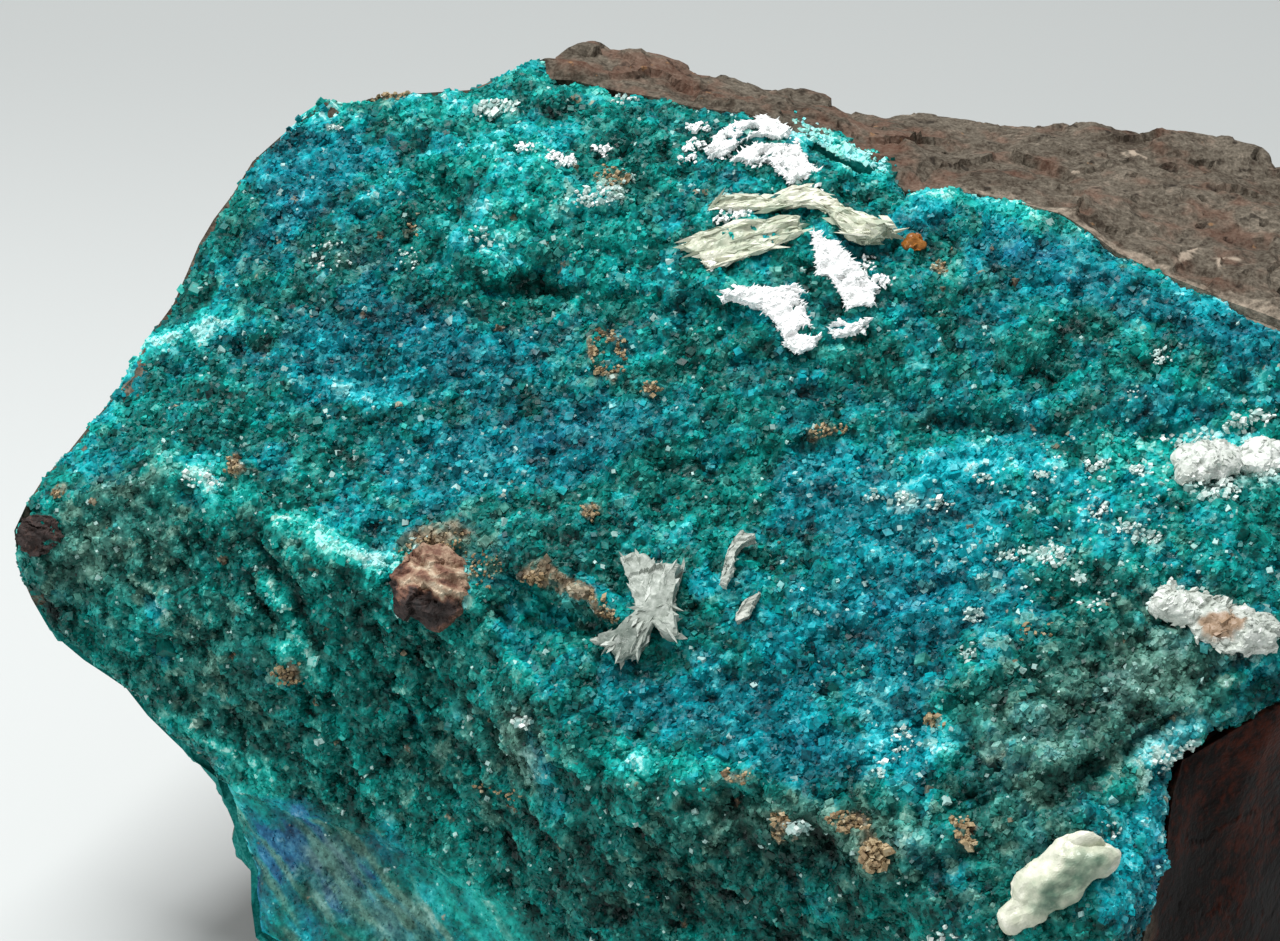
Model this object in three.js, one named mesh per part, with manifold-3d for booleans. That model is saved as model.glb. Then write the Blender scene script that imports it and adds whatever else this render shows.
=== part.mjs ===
// A dioptase specimen: a broken piece of iron-rich rock whose shown side carries a thin granular
// crust of green to blue dioptase, with pale calcite blades and rusty iron oxide lumps on it.
// Millimetres, +Z up. The stone rests on the flat part of its broken underside, at z = 0.
import * as THREE from 'three';
import { ConvexHull } from 'three/addons/math/ConvexHull.js';
import { ImprovedNoise } from 'three/addons/math/ImprovedNoise.js';
import { mergeVertices } from 'three/addons/utils/BufferGeometryUtils.js';
import Module from 'manifold-3d';

const wasm = await Module();
wasm.setup();

// The measuring frame: across, up and out, as the shown side is looked at
const SHOWN_TURN = THREE.MathUtils.degToRad(10);
const SHOWN_TILT = THREE.MathUtils.degToRad(28);
const FRAME_HEIGHT = 51;

// The crust and the rock under it
const CRUST_THICKNESS = 2.4;
const RIM_THICKNESS = 1.4;
const RIM_STEP = 0.5;
const GAP = 0.4;
const BORDER_GAP = 0.6;

// The mesh of the stone: longest edges, and how much each step rounds it
const COARSE_EDGE = 9;
const FINE_EDGE = 4.2;
const BACK_EDGE = 6.6;
const SHOWN_DEPTH = -8;
const RELAX_SHARE = 0.25;
const INNER_RELAX_SHARE = 0.3;

// Rough relief on the corners' plain shape: wavelengths and heights
const BROAD_WAVE = 13;
const BROAD_HEIGHT = 1.1;
const FINE_WAVE = 6;
const FINE_HEIGHT = 0.6;
const NOISE_SHIFT = 3.7;

// The back is broken more coarsely than the shown side
const BACK_DEPTH = -36;
const BACK_FADE = 8;
const BACK_WAVE = 21;
const BACK_HEIGHT = 4.2;

// What sticks out of the crust
const BLADE_RISE = 1.1;
const BLADE_ROOT = 3.0;
const LUMP_BULGE = 0.35;
const LUMP_WAVES = 1.7;
const LUMP_DETAIL = 1;
const BELOW_FLOOR = -3;

const COLOURS = {
  matrix: 0x5f544c,
  dioptase: 0x21706c,
  calcite: 0xd5d8cc,
  iron: 0x7a4a32,
};

const outAxis = new THREE.Vector3(
  Math.sin(SHOWN_TURN) * Math.cos(SHOWN_TILT),
  -Math.cos(SHOWN_TURN) * Math.cos(SHOWN_TILT),
  Math.sin(SHOWN_TILT),
);
const acrossAxis = new THREE.Vector3(Math.cos(SHOWN_TURN), Math.sin(SHOWN_TURN), 0);
const upAxis = outAxis.clone().cross(acrossAxis);
const measured = new THREE.Matrix4()
  .makeBasis(acrossAxis, upAxis, outAxis)
  .setPosition(0, 0, FRAME_HEIGHT);

const toMeasured = measured.clone().invert();

// A point of the shown side, from its place in the measuring frame
function shown([across, up, out]) {
  return new THREE.Vector3(across, up, out).applyMatrix4(measured);
}

// The upper face leans back as one plane; its corners give their height above that plane
const FACE_SLOPE_ACROSS = 0.17;
const FACE_SLOPE_UP = -0.45;
function onUpperFace([across, up, relief]) {
  return shown([across, up, FACE_SLOPE_ACROSS * across + FACE_SLOPE_UP * up + relief]);
}

function standing([x, y, z]) {
  return new THREE.Vector3(x, y, z);
}

// The border of the crust, as a loop in the measuring frame, clockwise from the left tip
const LEFT_EDGE = [
  [-54, -5, -7], [-52, -0.5, -9], [-49, 4, -11], [-45.5, 9, -13], [-42, 15, -16],
  [-40, 20.5, -18], [-37.5, 25.5, -19], [-33.5, 31, -21], [-29, 34.5, -22],
];
const TOP_EDGE = [
  [-25, 35, -22], [-21, 35, -21.5], [-15.5, 35.5, -21], [-13, 37, -21], [-9, 38.5, -21],
];
const CRUST_TOP = [
  [-8.5, 36, -19.5], [-3.5, 35, -18.5], [1, 34, -17], [4.5, 32.5, -16], [9.5, 32, -15],
  [14, 31, -14], [17.5, 28.5, -12.5], [21, 27, -11.5], [23, 25, -10], [27, 25, -9],
  [32, 23.5, -8], [36, 22, -6], [40.5, 18.5, -3.5], [45.5, 16.5, -1.5], [53.5, 12.5, 2],
  [58, 9.5, 3], [62, 6, 3.5],
];
const CRUST_RIGHT = [
  [63, 0, 6], [61.5, -7, 9], [58, -12.5, 11], [50.5, -18.5, 14], [42.5, -22.5, 16],
  [41.5, -25, 16.5], [41, -30, 17], [39, -36.5, 18],
];
// The lower border, in the standing frame, a little above the floor
const CRUST_LOW = [
  [40, -27.5, 17], [34, -27, 9], [24, -26, 7], [14, -24.5, 6.5], [4, -22, 6], [-6, -17.5, 5.5],
  [-16, -15, 5], [-21.5, -14, 5], [-27, -13.5, 5],
];
const LEFT_LOW = [
  [-35, -42, -15.5], [-35.5, -35.5, -16], [-37, -31.5, -16], [-37.5, -27.5, -13],
  [-41.5, -24, -13], [-45.5, -19.5, -12], [-49, -17, -11.5], [-52, -13.5, -10.5],
  [-53.5, -9, -9],
];

// The ridge between the upper face and the steep front face, from the left tip down to the right
const RIDGE = [
  [-45, -1.5, -5], [-41.5, 0, -4], [-39.5, 0.5, -4], [-34, -2.5, -2.5], [-28.5, -6, -0.5],
  [-23.5, -8, 0.5], [-16.5, -10, 2.5], [-13, -11.5, 3], [-9, -16.5, 6], [-6, -21.5, 9],
  [-1.5, -24.5, 11.5], [4.5, -24.5, 12.5], [8.5, -24, 13], [14.5, -26, 16], [18.5, -28, 17.5],
  [22, -31, 19.5], [24, -36, 21],
];

// The upper face, as across, up and relief above its leaning plane
const UPPER_FACE = [
  [-21.5, 28.5, 1], [-30, 24, 1], [-34, 15, 0.5], [-40, 6, 0.5], [-19.5, 24, 1.5],
  [-8.5, 24.5, 2.5], [-14, 19, 1.5], [-10.5, 15.5, -0.5], [-3.5, 15.5, 0], [0, 23.5, 1.5],
  [10.5, 26, 1.5], [10, 14.5, 1], [19.5, 18, 1], [27, 14.5, 0], [35, 11.5, -0.5],
  [44.5, 7.5, 0], [30, 5, -2.5], [18.5, 4.5, -1.5], [44.5, 3.5, -2.5], [13.5, 1.5, -0.5],
  [21, -1, 0.5], [33, 0, 1.5], [45.5, -1, 2.5], [5, 1.5, -0.5], [-3.5, 6, 0.5],
  [-12, 6, 0.5], [-20.5, 6, 0.5], [-29.5, 6, 0.5], [-24.5, -1, 0.5], [-16, -2.5, 0.5],
  [-9, -8, 1], [-6.5, -11.5, -2.5], [-1.5, -12, 0],
];

// Below the middle ledge the upper face sinks to a shallow valley and then rises in lumps
const LOWER_RIGHT = [
  [1, -17, -1], [8, -10.5, 0.5], [8, -18.5, -1.5], [13, -14.5, -0.5], [19.5, -7, 0.5],
  [20.5, -18, -1], [25.5, -10.5, 1], [31.5, -10.5, 1.5], [28, -18, 2.5], [34, -14.5, 2.5],
  [32, -22, 3.5], [26, -25, 2.5], [33, -29.5, 3.5], [43.5, -11.5, 2], [49.5, -7, 1],
  [49, -14, 1], [35, -34.5, 2.5],
];

const FRONT_FACE = [
  [-45.5, -7.5, -6.5], [-50, -9.5, -8.5], [-39, -7.5, -5], [-33, -11, -4], [-41.5, -15.5, -8],
  [-33.5, -19.5, -7], [-26, -14.5, -2.5], [-24.5, -23, -5.5], [-17.5, -17.5, -1],
  [-18, -26.5, -5], [-11.5, -24, 0.5], [-10, -33, -2.5], [-3, -29, 7], [-3.5, -35, 4.5],
  [3, -31, 9], [9.5, -30, 11], [9.5, -37, 7.5], [16.5, -34, 13], [1, -40, 3.5], [17, -40, 9],
];

// The ledge that cuts the front face off below, and the smooth face under it
const LEDGE = [
  [-29.5, -29, -10.5], [-22.5, -31, -8.5], [-15.5, -35, -6.5], [-10.5, -37, -5],
  [-7, -40.5, -4.5],
];
const UNDER_LEDGE = [
  [-30, -33.5, -13], [-25.5, -37.5, -12], [-21, -40.5, -11.5], [-15.5, -41.5, -9.5],
];

// The bare rock along the top and at the right end
const BACK_RIM = [
  [-3.5, 40, -28], [1.5, 40, -29], [5.5, 38, -30], [8.5, 37, -31], [15, 37, -33], [21, 35, -34],
  [28.5, 34.5, -34], [40, 34, -32], [48, 32.5, -30], [52.5, 33, -28], [58.5, 31, -26],
  [62, 25, -20.5], [66, 17.5, -14],
];
const TOP_ROCK = [
  [22, 31, -22], [32.5, 29, -20], [40.5, 27, -19], [45, 24, -14], [51, 24.5, -17],
  [55.5, 22.5, -13], [61, 19, -10],
];
const RIGHT_END = [
  [70, 12, -8], [70, 0, -5], [68, -11, -4], [65, -21, -5], [55.5, -24.5, 4], [46.5, -30, 10],
  [53.5, -34.5, 2], [61, -32, -8], [48.5, -39.5, 6], [56, -42, -8],
];

// The back and the underside, in the standing frame
const BACK = [
  [-46, 4, 45], [-40, 18, 59], [-26, 30, 67], [-44, 10, 26], [-32, 28, 43], [-14, 38, 57],
  [-20, 34, 22], [4, 47, 56], [4, 44, 26], [26, 51, 56], [28, 46, 24], [46, 49, 55],
  [46, 42, 24], [59, 41, 51], [65, 28, 42], [59, 25, 20], [-8, 41, 38], [15, 48, 41], [37, 50, 39],
  [55, 39, 34],
];
const UNDERSIDE = [
  [-31, -8], [-21, -11.5], [-5, -15], [12, -20], [32, -20], [45, -10], [53, 4], [51, 22], [38, 33],
  [16, 37], [-6, 35], [-24, 25], [-35, 9], [-10, 8], [20, 8],
];

// Every direction from this point inside the stone meets the surface once
const HEART = new THREE.Vector3(6, 8, 37);

// Swells and hollows on top of the corners: place in the measuring frame, radius, height
const SWELLS = [
  [[-8.8, 24, -10], 4, 0.5],
  [[-14, 20.5, -10], 4, 0.6],
  [[-9.5, 15.6, -8.5], 3.5, -0.8],
  [[-3, 15.2, -8], 3, -0.6],
  [[-6.7, -12, 0], 3, -1.2],
  [[-8.5, -8.2, 2.5], 2.5, 0.8],
  [[-45, -7, -7], 8, 0.9],
  [[28, -19.5, 15], 3.2, 1.2],
  [[22.5, -23, 15.5], 3, 1.1],
  [[18, -17, 11], 3, 0.8],
  [[32, -25.5, 18.5], 3.4, 1.1],
  [[25, -27.5, 18], 3, -1.0],
  [[30.5, -13, 13], 3, -0.9],
  [[39.5, -18, 17], 3.6, 1.0],
];

const perlin = new ImprovedNoise();
function noiseAt(point, wavelength) {
  const p = point.clone().divideScalar(wavelength).addScalar(NOISE_SHIFT);
  return perlin.noise(p.x, p.y, p.z);
}

// A skin is a list of points, and triangles that say whether they belong to the crust
function joinCorners(points) {
  const indexOf = new Map();
  points.forEach((point, index) => {
    indexOf.set(point.clone().sub(HEART).normalize(), index);
  });
  const hull = new ConvexHull().setFromPoints([...indexOf.keys()]);
  const triangles = hull.faces.map((face) => ({
    corner: [face.edge, face.edge.next, face.edge.prev].map((edge) => indexOf.get(edge.head().point)),
    isCrust: false,
  }));
  return { points, triangles };
}

// The crust is every triangle that is reached from one corner without crossing the border loop
function markCrust(skin, start, loopLength) {
  const isOnLoop = (a, b) => a < loopLength && b === (a + 1) % loopLength;
  const onEdge = new Map();
  for (const triangle of skin.triangles) {
    triangle.corner.forEach((a, k) => onEdge.set(`${a} ${triangle.corner[(k + 1) % 3]}`, triangle));
  }
  const waiting = [skin.triangles.find((triangle) => triangle.corner.includes(start))];
  while (waiting.length > 0) {
    const triangle = waiting.pop();
    if (!triangle.isCrust) {
      triangle.isCrust = true;
      triangle.corner.forEach((a, k) => {
        const b = triangle.corner[(k + 1) % 3];
        if (!isOnLoop(a, b) && !isOnLoop(b, a)) waiting.push(onEdge.get(`${b} ${a}`));
      });
    }
  }
  return skin;
}

// Halves every edge that is longer than allowed at its middle, until none is left
function refine(skin, longestAt) {
  const points = skin.points.map((point) => point.clone());
  let triangles = skin.triangles;
  let isDone = false;
  while (!isDone) {
    const middles = new Map();
    const middleOf = (a, b) => {
      const key = a < b ? `${a} ${b}` : `${b} ${a}`;
      if (!middles.has(key)) {
        const middle = points[a].clone().add(points[b]).multiplyScalar(0.5);
        const isLong = points[a].distanceTo(points[b]) > longestAt(middle);
        middles.set(key, isLong ? points.push(middle) - 1 : null);
      }
      return middles.get(key);
    };
    triangles = triangles.flatMap(({ corner, isCrust }) =>
      splitTriangle(corner, middleOf).map((part) => ({ corner: part, isCrust })),
    );
    isDone = [...middles.values()].every((middle) => middle === null);
  }
  return { points, triangles };
}

function splitTriangle(corner, middleOf) {
  const middle = corner.map((a, k) => middleOf(a, corner[(k + 1) % 3]));
  const count = middle.filter((m) => m !== null).length;
  if (count === 0) return [corner];
  if (count === 3) {
    const [a, b, c] = corner;
    const [ab, bc, ca] = middle;
    return [[a, ab, ca], [ab, b, bc], [ca, bc, c], [ab, bc, ca]];
  }
  // Turned so that the first edge is split, and the last one is not
  const first = [0, 1, 2].find((k) => middle[k] !== null && middle[(k + 2) % 3] === null);
  const [a, b, c] = [0, 1, 2].map((k) => corner[(first + k) % 3]);
  const [ab, bc] = [0, 1].map((k) => middle[(first + k) % 3]);
  if (count === 1) return [[a, ab, c], [ab, b, c]];
  return [[a, ab, bc], [ab, b, bc], [a, bc, c]];
}

// Moves the points a share of the way to the middle of their neighbours, but the first ones stay
function relax(skin, share, pinned = 0) {
  const sums = skin.points.map(() => new THREE.Vector3());
  const counts = skin.points.map(() => 0);
  for (const { corner } of skin.triangles) {
    corner.forEach((a, k) => {
      sums[a].add(skin.points[corner[(k + 1) % 3]]);
      counts[a] += 1;
    });
  }
  const points = skin.points.map((point, k) =>
    point.clone().lerp(sums[k].divideScalar(counts[k]), k < pinned ? 0 : share),
  );
  return { points, triangles: skin.triangles };
}

// Moves every point along the skin's normal there
function shifted(skin, shiftOf) {
  const normals = skin.points.map(() => new THREE.Vector3());
  for (const { corner } of skin.triangles) {
    const [a, b, c] = corner.map((k) => skin.points[k]);
    const normal = b.clone().sub(a).cross(c.clone().sub(a));
    for (const k of corner) normals[k].add(normal);
  }
  const points = skin.points.map((point, k) =>
    point.clone().addScaledVector(normals[k].normalize(), shiftOf(point, k)),
  );
  return { points, triangles: skin.triangles };
}

// The directed edges round one side of a skin, from each point on its border to the next
function borderOf(triangles) {
  const edges = new Set(
    triangles.flatMap(({ corner }) => corner.map((a, k) => `${a} ${corner[(k + 1) % 3]}`)),
  );
  const nextOf = new Map();
  for (const edge of edges) {
    const [a, b] = edge.split(' ').map(Number);
    if (!edges.has(`${b} ${a}`)) nextOf.set(a, b);
  }
  return nextOf;
}

// Moves the border points of one side along the skin, into that side
function drawnIn(skin, side, distance) {
  const sums = new Map([...borderOf(side).keys()].map((k) => [k, new THREE.Vector3()]));
  for (const { corner } of side) {
    const middle = corner.reduce((sum, k) => sum.add(skin.points[k]), new THREE.Vector3()).divideScalar(3);
    for (const k of corner) {
      if (sums.has(k)) sums.get(k).add(middle.clone().sub(skin.points[k]).normalize());
    }
  }
  const points = skin.points.map((point, k) =>
    sums.has(k) ? point.clone().addScaledVector(sums.get(k).normalize(), distance) : point,
  );
  return { points, triangles: skin.triangles };
}

// One closed solid from a fine side and a coarse side whose border has only the skin's corners
function closedSolid(fine, fineSide, coarse, coarseSide) {
  const first = fine.points.length;
  const triangles = [
    ...fineSide.map(({ corner }) => corner),
    ...coarseSide.map(({ corner }) => corner.map((k) => k + first)),
  ];
  const nextOf = borderOf(fineSide);
  const coarseCorners = new Set(borderOf(coarseSide).keys());
  for (const start of coarseCorners) {
    const chain = [start, nextOf.get(start)];
    while (!coarseCorners.has(chain.at(-1))) chain.push(nextOf.get(chain.at(-1)));
    const from = start + first;
    const to = chain.at(-1) + first;
    const half = Math.floor((chain.length - 1) / 2);
    triangles.push([chain[half], from, to]);
    for (let k = 0; k + 1 < chain.length; k += 1) {
      triangles.push([chain[k + 1], chain[k], k < half ? from : to]);
    }
  }
  return compact([...fine.points, ...coarse.points], triangles);
}

function compact(points, triangles) {
  const used = [...new Set(triangles.flat())];
  const indexOf = new Map(used.map((old, index) => [old, index]));
  const geometry = new THREE.BufferGeometry().setFromPoints(used.map((old) => points[old]));
  geometry.setIndex(triangles.flat().map((old) => indexOf.get(old)));
  return geometry;
}

const swells = SWELLS.map(([place, radius, height]) => ({
  direction: shown(place).sub(HEART).normalize(),
  radius,
  height,
}));

function broadRelief(point) {
  const offset = point.clone().sub(HEART);
  const depth = point.clone().applyMatrix4(toMeasured).z;
  const backShare = THREE.MathUtils.smoothstep(BACK_DEPTH - depth, 0, BACK_FADE);
  let height = BROAD_HEIGHT * noiseAt(point, BROAD_WAVE);
  height += backShare * BACK_HEIGHT * noiseAt(point, BACK_WAVE);
  for (const swell of swells) {
    const away = (offset.length() * offset.angleTo(swell.direction)) / swell.radius;
    height += swell.height * Math.exp(-away * away);
  }
  return height;
}

// The corners of the whole stone
const crustLoop = [
  ...LEFT_EDGE.map(shown),
  ...TOP_EDGE.map(shown),
  ...CRUST_TOP.map(shown),
  ...CRUST_RIGHT.map(shown),
  ...CRUST_LOW.map(standing),
  ...LEFT_LOW.map(shown),
];
const corners = [
  ...crustLoop,
  ...[RIDGE, FRONT_FACE, LEDGE, UNDER_LEDGE, BACK_RIM, TOP_ROCK, RIGHT_END].flat().map(shown),
  ...[UPPER_FACE, LOWER_RIGHT].flat().map(onUpperFace),
  ...BACK.map(standing),
  ...UNDERSIDE.map(([x, y]) => standing([x, y, BELOW_FLOOR])),
];

const plainSkin = markCrust(joinCorners(corners), crustLoop.length, crustLoop.length);
const coarseSkin = shifted(
  relax(refine(plainSkin, () => COARSE_EDGE), RELAX_SHARE, corners.length),
  broadRelief,
);
const onShownSide = (point) => point.clone().sub(HEART).dot(outAxis) > SHOWN_DEPTH;
const fineSkin = shifted(
  relax(refine(coarseSkin, (point) => (onShownSide(point) ? FINE_EDGE : BACK_EDGE)), RELAX_SHARE),
  (point) => FINE_HEIGHT * noiseAt(point, FINE_WAVE),
);
const sideOf = (skin, isCrust) => skin.triangles.filter((triangle) => triangle.isCrust === isCrust);
const turnedOver = (side) => side.map(({ corner: [a, b, c] }) => ({ corner: [a, c, b] }));

// The face between crust and rock is plainer than the outside, and thins out at the border
const innerSkin = relax(shifted(plainSkin, broadRelief), INNER_RELAX_SHARE, crustLoop.length);
const innerFace = (gap) =>
  shifted(innerSkin, (point, k) => -(k < crustLoop.length ? RIM_THICKNESS : CRUST_THICKNESS) - gap);

function toManifold(geometry) {
  const bare = geometry.clone();
  bare.deleteAttribute('normal');
  bare.deleteAttribute('uv');
  const welded = mergeVertices(bare);
  return new wasm.Manifold(
    new wasm.Mesh({
      numProp: 3,
      vertProperties: new Float32Array(welded.attributes.position.array),
      triVerts: new Uint32Array(welded.index.array),
    }),
  );
}

// Cutting may leave loose crumbs or pockets behind; only the largest body is kept
function fromManifold(manifold) {
  const bodies = manifold.decompose().sort((a, b) => b.volume() - a.volume());
  const mesh = bodies[0].getMesh();
  const geometry = new THREE.BufferGeometry();
  geometry.setAttribute('position', new THREE.Float32BufferAttribute(mesh.vertProperties, 3));
  geometry.setIndex(new THREE.Uint32BufferAttribute(mesh.triVerts, 1));
  return geometry;
}

function dioptaseCrust() {
  const inner = innerFace(0);
  const outerSide = sideOf(fineSkin, true);
  const innerSide = sideOf(inner, true);
  const outer = drawnIn(fineSkin, outerSide, BORDER_GAP);
  return closedSolid(outer, outerSide, drawnIn(inner, innerSide, BORDER_GAP), turnedOver(innerSide));
}

function matrixRock() {
  const bare = shifted(fineSkin, () => -RIM_STEP);
  const underCrust = innerFace(GAP);
  const rock = closedSolid(bare, sideOf(bare, false), underCrust, sideOf(underCrust, true));
  const SPAN = 400;
  const aboveFloor = new THREE.BoxGeometry(SPAN, SPAN, SPAN).translate(0, 0, SPAN / 2);
  return fromManifold(toManifold(rock).intersect(toManifold(aboveFloor)));
}

function toGeometry(skin) {
  return compact(skin.points, skin.triangles.map(({ corner }) => corner));
}

// The whole stone a little swollen, to keep what sits on it clear of it
const swollenStone = toManifold(toGeometry(shifted(fineSkin, () => GAP)));

// The place on the surface seen at this across and up
const surface = new THREE.Mesh(toGeometry(fineSkin));
function seat(across, up) {
  const FAR = 100;
  const ray = new THREE.Raycaster(shown([across, up, FAR]), outAxis.clone().negate());
  return ray.intersectObject(surface)[0].point;
}

// Axes on the surface there: its normal, and two in its plane
function seatAxes(across, up) {
  const REACH = 1.5;
  const side = seat(across + REACH, up).sub(seat(across - REACH, up));
  const rise = seat(across, up + REACH).sub(seat(across, up - REACH));
  const normal = side.cross(rise).normalize();
  const first = acrossAxis.clone().addScaledVector(normal, -acrossAxis.dot(normal)).normalize();
  return { normal, first, second: normal.clone().cross(first) };
}

// A flat crystal whose outline, given in across and up, stands out of the crust
function blade(outline, rise = BLADE_RISE) {
  const count = outline.length;
  const middle = [0, 1].map((k) => outline.reduce((sum, point) => sum + point[k], 0) / count);
  const place = seat(...middle);
  const { normal, first, second } = seatAxes(...middle);
  const toSeat = outAxis.dot(normal);
  const flat = outline.map(([across, up]) => {
    const offset = acrossAxis.clone().multiplyScalar(across - middle[0]);
    offset.addScaledVector(upAxis, up - middle[1]);
    offset.addScaledVector(outAxis, -offset.dot(normal) / toSeat);
    return new THREE.Vector2(offset.dot(first), offset.dot(second));
  });
  const slab = new THREE.ExtrudeGeometry(new THREE.Shape(flat), {
    depth: BLADE_ROOT + rise,
    bevelEnabled: false,
  });
  slab.translate(0, 0, -BLADE_ROOT);
  slab.applyMatrix4(new THREE.Matrix4().makeBasis(first, second, normal).setPosition(place));
  return fromManifold(toManifold(slab).subtract(swollenStone));
}

// A rounded lump half sunk in the crust: place, three half sizes, turn in the plane of the surface
function lump([across, up], [long, wide, high], turnDegrees = 0) {
  const place = seat(across, up);
  const { normal, first, second } = seatAxes(across, up);
  const body = new THREE.IcosahedronGeometry(1, LUMP_DETAIL);
  const position = body.attributes.position;
  for (let k = 0; k < position.count; k += 1) {
    const p = new THREE.Vector3().fromBufferAttribute(position, k);
    const q = p.clone().multiplyScalar(LUMP_WAVES);
    p.multiplyScalar(1 + LUMP_BULGE * perlin.noise(q.x + across, q.y + up, q.z));
    position.setXYZ(k, p.x * long, p.y * wide, p.z * high);
  }
  body.rotateZ(THREE.MathUtils.degToRad(turnDegrees));
  body.applyMatrix4(new THREE.Matrix4().makeBasis(first, second, normal).setPosition(place));
  return fromManifold(toManifold(body).subtract(swollenStone));
}

// Outlines of the pale crystals, in across and up
const FAN_HIGH = [
  [5.6, 27.7], [7.7, 29.6], [9.2, 30.8], [11.4, 30.6], [13.3, 29.4], [12.3, 28.5], [10.5, 28.9],
  [9.1, 28.6], [7.7, 27.2], [6.1, 26.9],
];
const FAN_LOW = [
  [7.8, 26.5], [9.8, 28.0], [12.5, 27.9], [13.9, 28.1], [14.1, 26.7], [15.6, 25.5], [15.0, 24.9],
  [13.8, 24.9], [12.9, 24.3], [11.6, 25.4], [11.0, 26.4], [9.1, 26.2],
];
const LEFT_BLADE = [
  [3.4, 18.8], [4.5, 19.7], [6.8, 20.5], [10.9, 21.1], [13.5, 21.3], [14.1, 19.7], [10.3, 18.0],
  [6.2, 16.8], [5.3, 17.0], [5.1, 18.1],
];
const RIGHT_BLADE = [
  [5.9, 22.0], [6.3, 23.0], [7.9, 23.2], [11.5, 22.9], [13.4, 24.0], [15.2, 23.9], [17.7, 22.0],
  [21.5, 20.6], [20.3, 19.5], [17.6, 19.4], [15.7, 21.7], [14.0, 22.1], [11.2, 21.8],
];
const STRIP = [
  [14.6, 20.2], [16.8, 19.0], [17.9, 17.8], [19.9, 15.5], [19.8, 13.7], [17.5, 13.4],
  [16.7, 14.9], [16.0, 16.2], [14.9, 16.1], [14.8, 18.2],
];
const LOW_PATCH = [
  [6.8, 14.6], [9.0, 15.5], [11.4, 15.1], [12.9, 15.7], [14.2, 14.7], [13.7, 13.8],
  [14.3, 11.8], [15.2, 11.1], [14.3, 9.9], [13.2, 9.5], [12.1, 10.2], [11.4, 12.1], [9.9, 13.5],
];
const LOW_TAIL = [
  [15.7, 11.8], [16.3, 12.5], [17.6, 12.1], [19.6, 12.6], [18.2, 11.3], [16.3, 10.9],
];
const STAR = [
  [-1.2, -7.6], [0.6, -7.3], [1.5, -8.1], [3.5, -8.1], [3.1, -8.8], [3.3, -9.7], [3.0, -10.9],
  [3.3, -13.7], [2.4, -13.6], [1.3, -12.7], [0.7, -14.3], [0.0, -15.2], [-1.3, -15.6],
  [-1.7, -14.8], [-3.4, -14.5], [-3.2, -13.6], [-1.7, -13.3], [0.0, -11.9], [-0.3, -10.5],
];
const CURVED_SLIVER = [
  [8.4, -5.7], [9.5, -5.8], [9.6, -6.2], [8.6, -6.7], [7.9, -7.4], [7.7, -8.6], [7.1, -10.0],
  [6.5, -9.8], [7.0, -7.8], [7.5, -6.4],
];
const TAN_SLIVER = [
  [9.9, -10.0], [9.0, -12.1], [7.8, -12.6], [7.7, -11.8], [8.8, -10.4],
];

// How each kind of mineral looks, and how rough it is
function material(color, roughness) {
  return new THREE.MeshStandardMaterial({ color, roughness, metalness: 0 });
}
const matrix = material(COLOURS.matrix, 0.85);
const dioptase = material(COLOURS.dioptase, 0.55);
const calcite = material(COLOURS.calcite, 0.5);
const ironOxide = material(COLOURS.iron, 0.8);

const specimen = new THREE.Group();
specimen.name = 'dioptase_specimen';

function add(name, geometry, look) {
  const mesh = new THREE.Mesh(geometry, look);
  mesh.name = name;
  specimen.add(mesh);
}

add('matrix_rock', matrixRock(), matrix);
add('dioptase_crust', dioptaseCrust(), dioptase);
add('calcite_fan_high', blade(FAN_HIGH), calcite);
add('calcite_fan_low', blade(FAN_LOW), calcite);
add('calcite_left_blade', blade(LEFT_BLADE), calcite);
add('calcite_right_blade', blade(RIGHT_BLADE), calcite);
add('calcite_strip', blade(STRIP), calcite);
add('calcite_low_patch', blade(LOW_PATCH), calcite);
add('calcite_low_tail', blade(LOW_TAIL), calcite);
add('calcite_star', blade(STAR, 1.6), calcite);
add('calcite_curved_sliver', blade(CURVED_SLIVER, 1.5), calcite);
add('calcite_tan_sliver', blade(TAN_SLIVER, 1.2), calcite);
add('calcite_knot_left', lump([45.5, 0.2], [2.7, 1.8, 1.7], 20), calcite);
add('calcite_knot_right', lump([50.2, 0.8], [2.2, 1.5, 1.4], 10), calcite);
add('calcite_knot_low', lump([45, -11.8], [5.2, 2.0, 1.5], -22), calcite);
add('calcite_low_lump', lump([31.2, -31], [5.6, 2.7, 2.2], 40), calcite);
add('iron_boss', lump([-17.3, -9.6], [3.6, 3.0, 1.6], -20), ironOxide);
add('iron_tip', lump([-51.2, -5.4], [2.2, 1.8, 1.2]), ironOxide);
add('iron_orange_grain', lump([23.4, 19.2], [1.1, 1.1, 1.0]), ironOxide);

// The middle of the whole stone's footprint comes over the origin
const box = new THREE.Box3().setFromObject(specimen);
const centre = box.getCenter(new THREE.Vector3());
specimen.position.set(-centre.x, -centre.y, 0);

export default specimen;
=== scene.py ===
"""A dioptase specimen: brown iron-rich rock under a thin crust of small green to blue crystals, with
pale calcite and rusty iron oxide on it. Shapes are worked out in millimetres and written in metres."""

import math

import bpy
import numpy as np
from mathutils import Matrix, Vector
from mathutils.bvhtree import BVHTree


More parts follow.
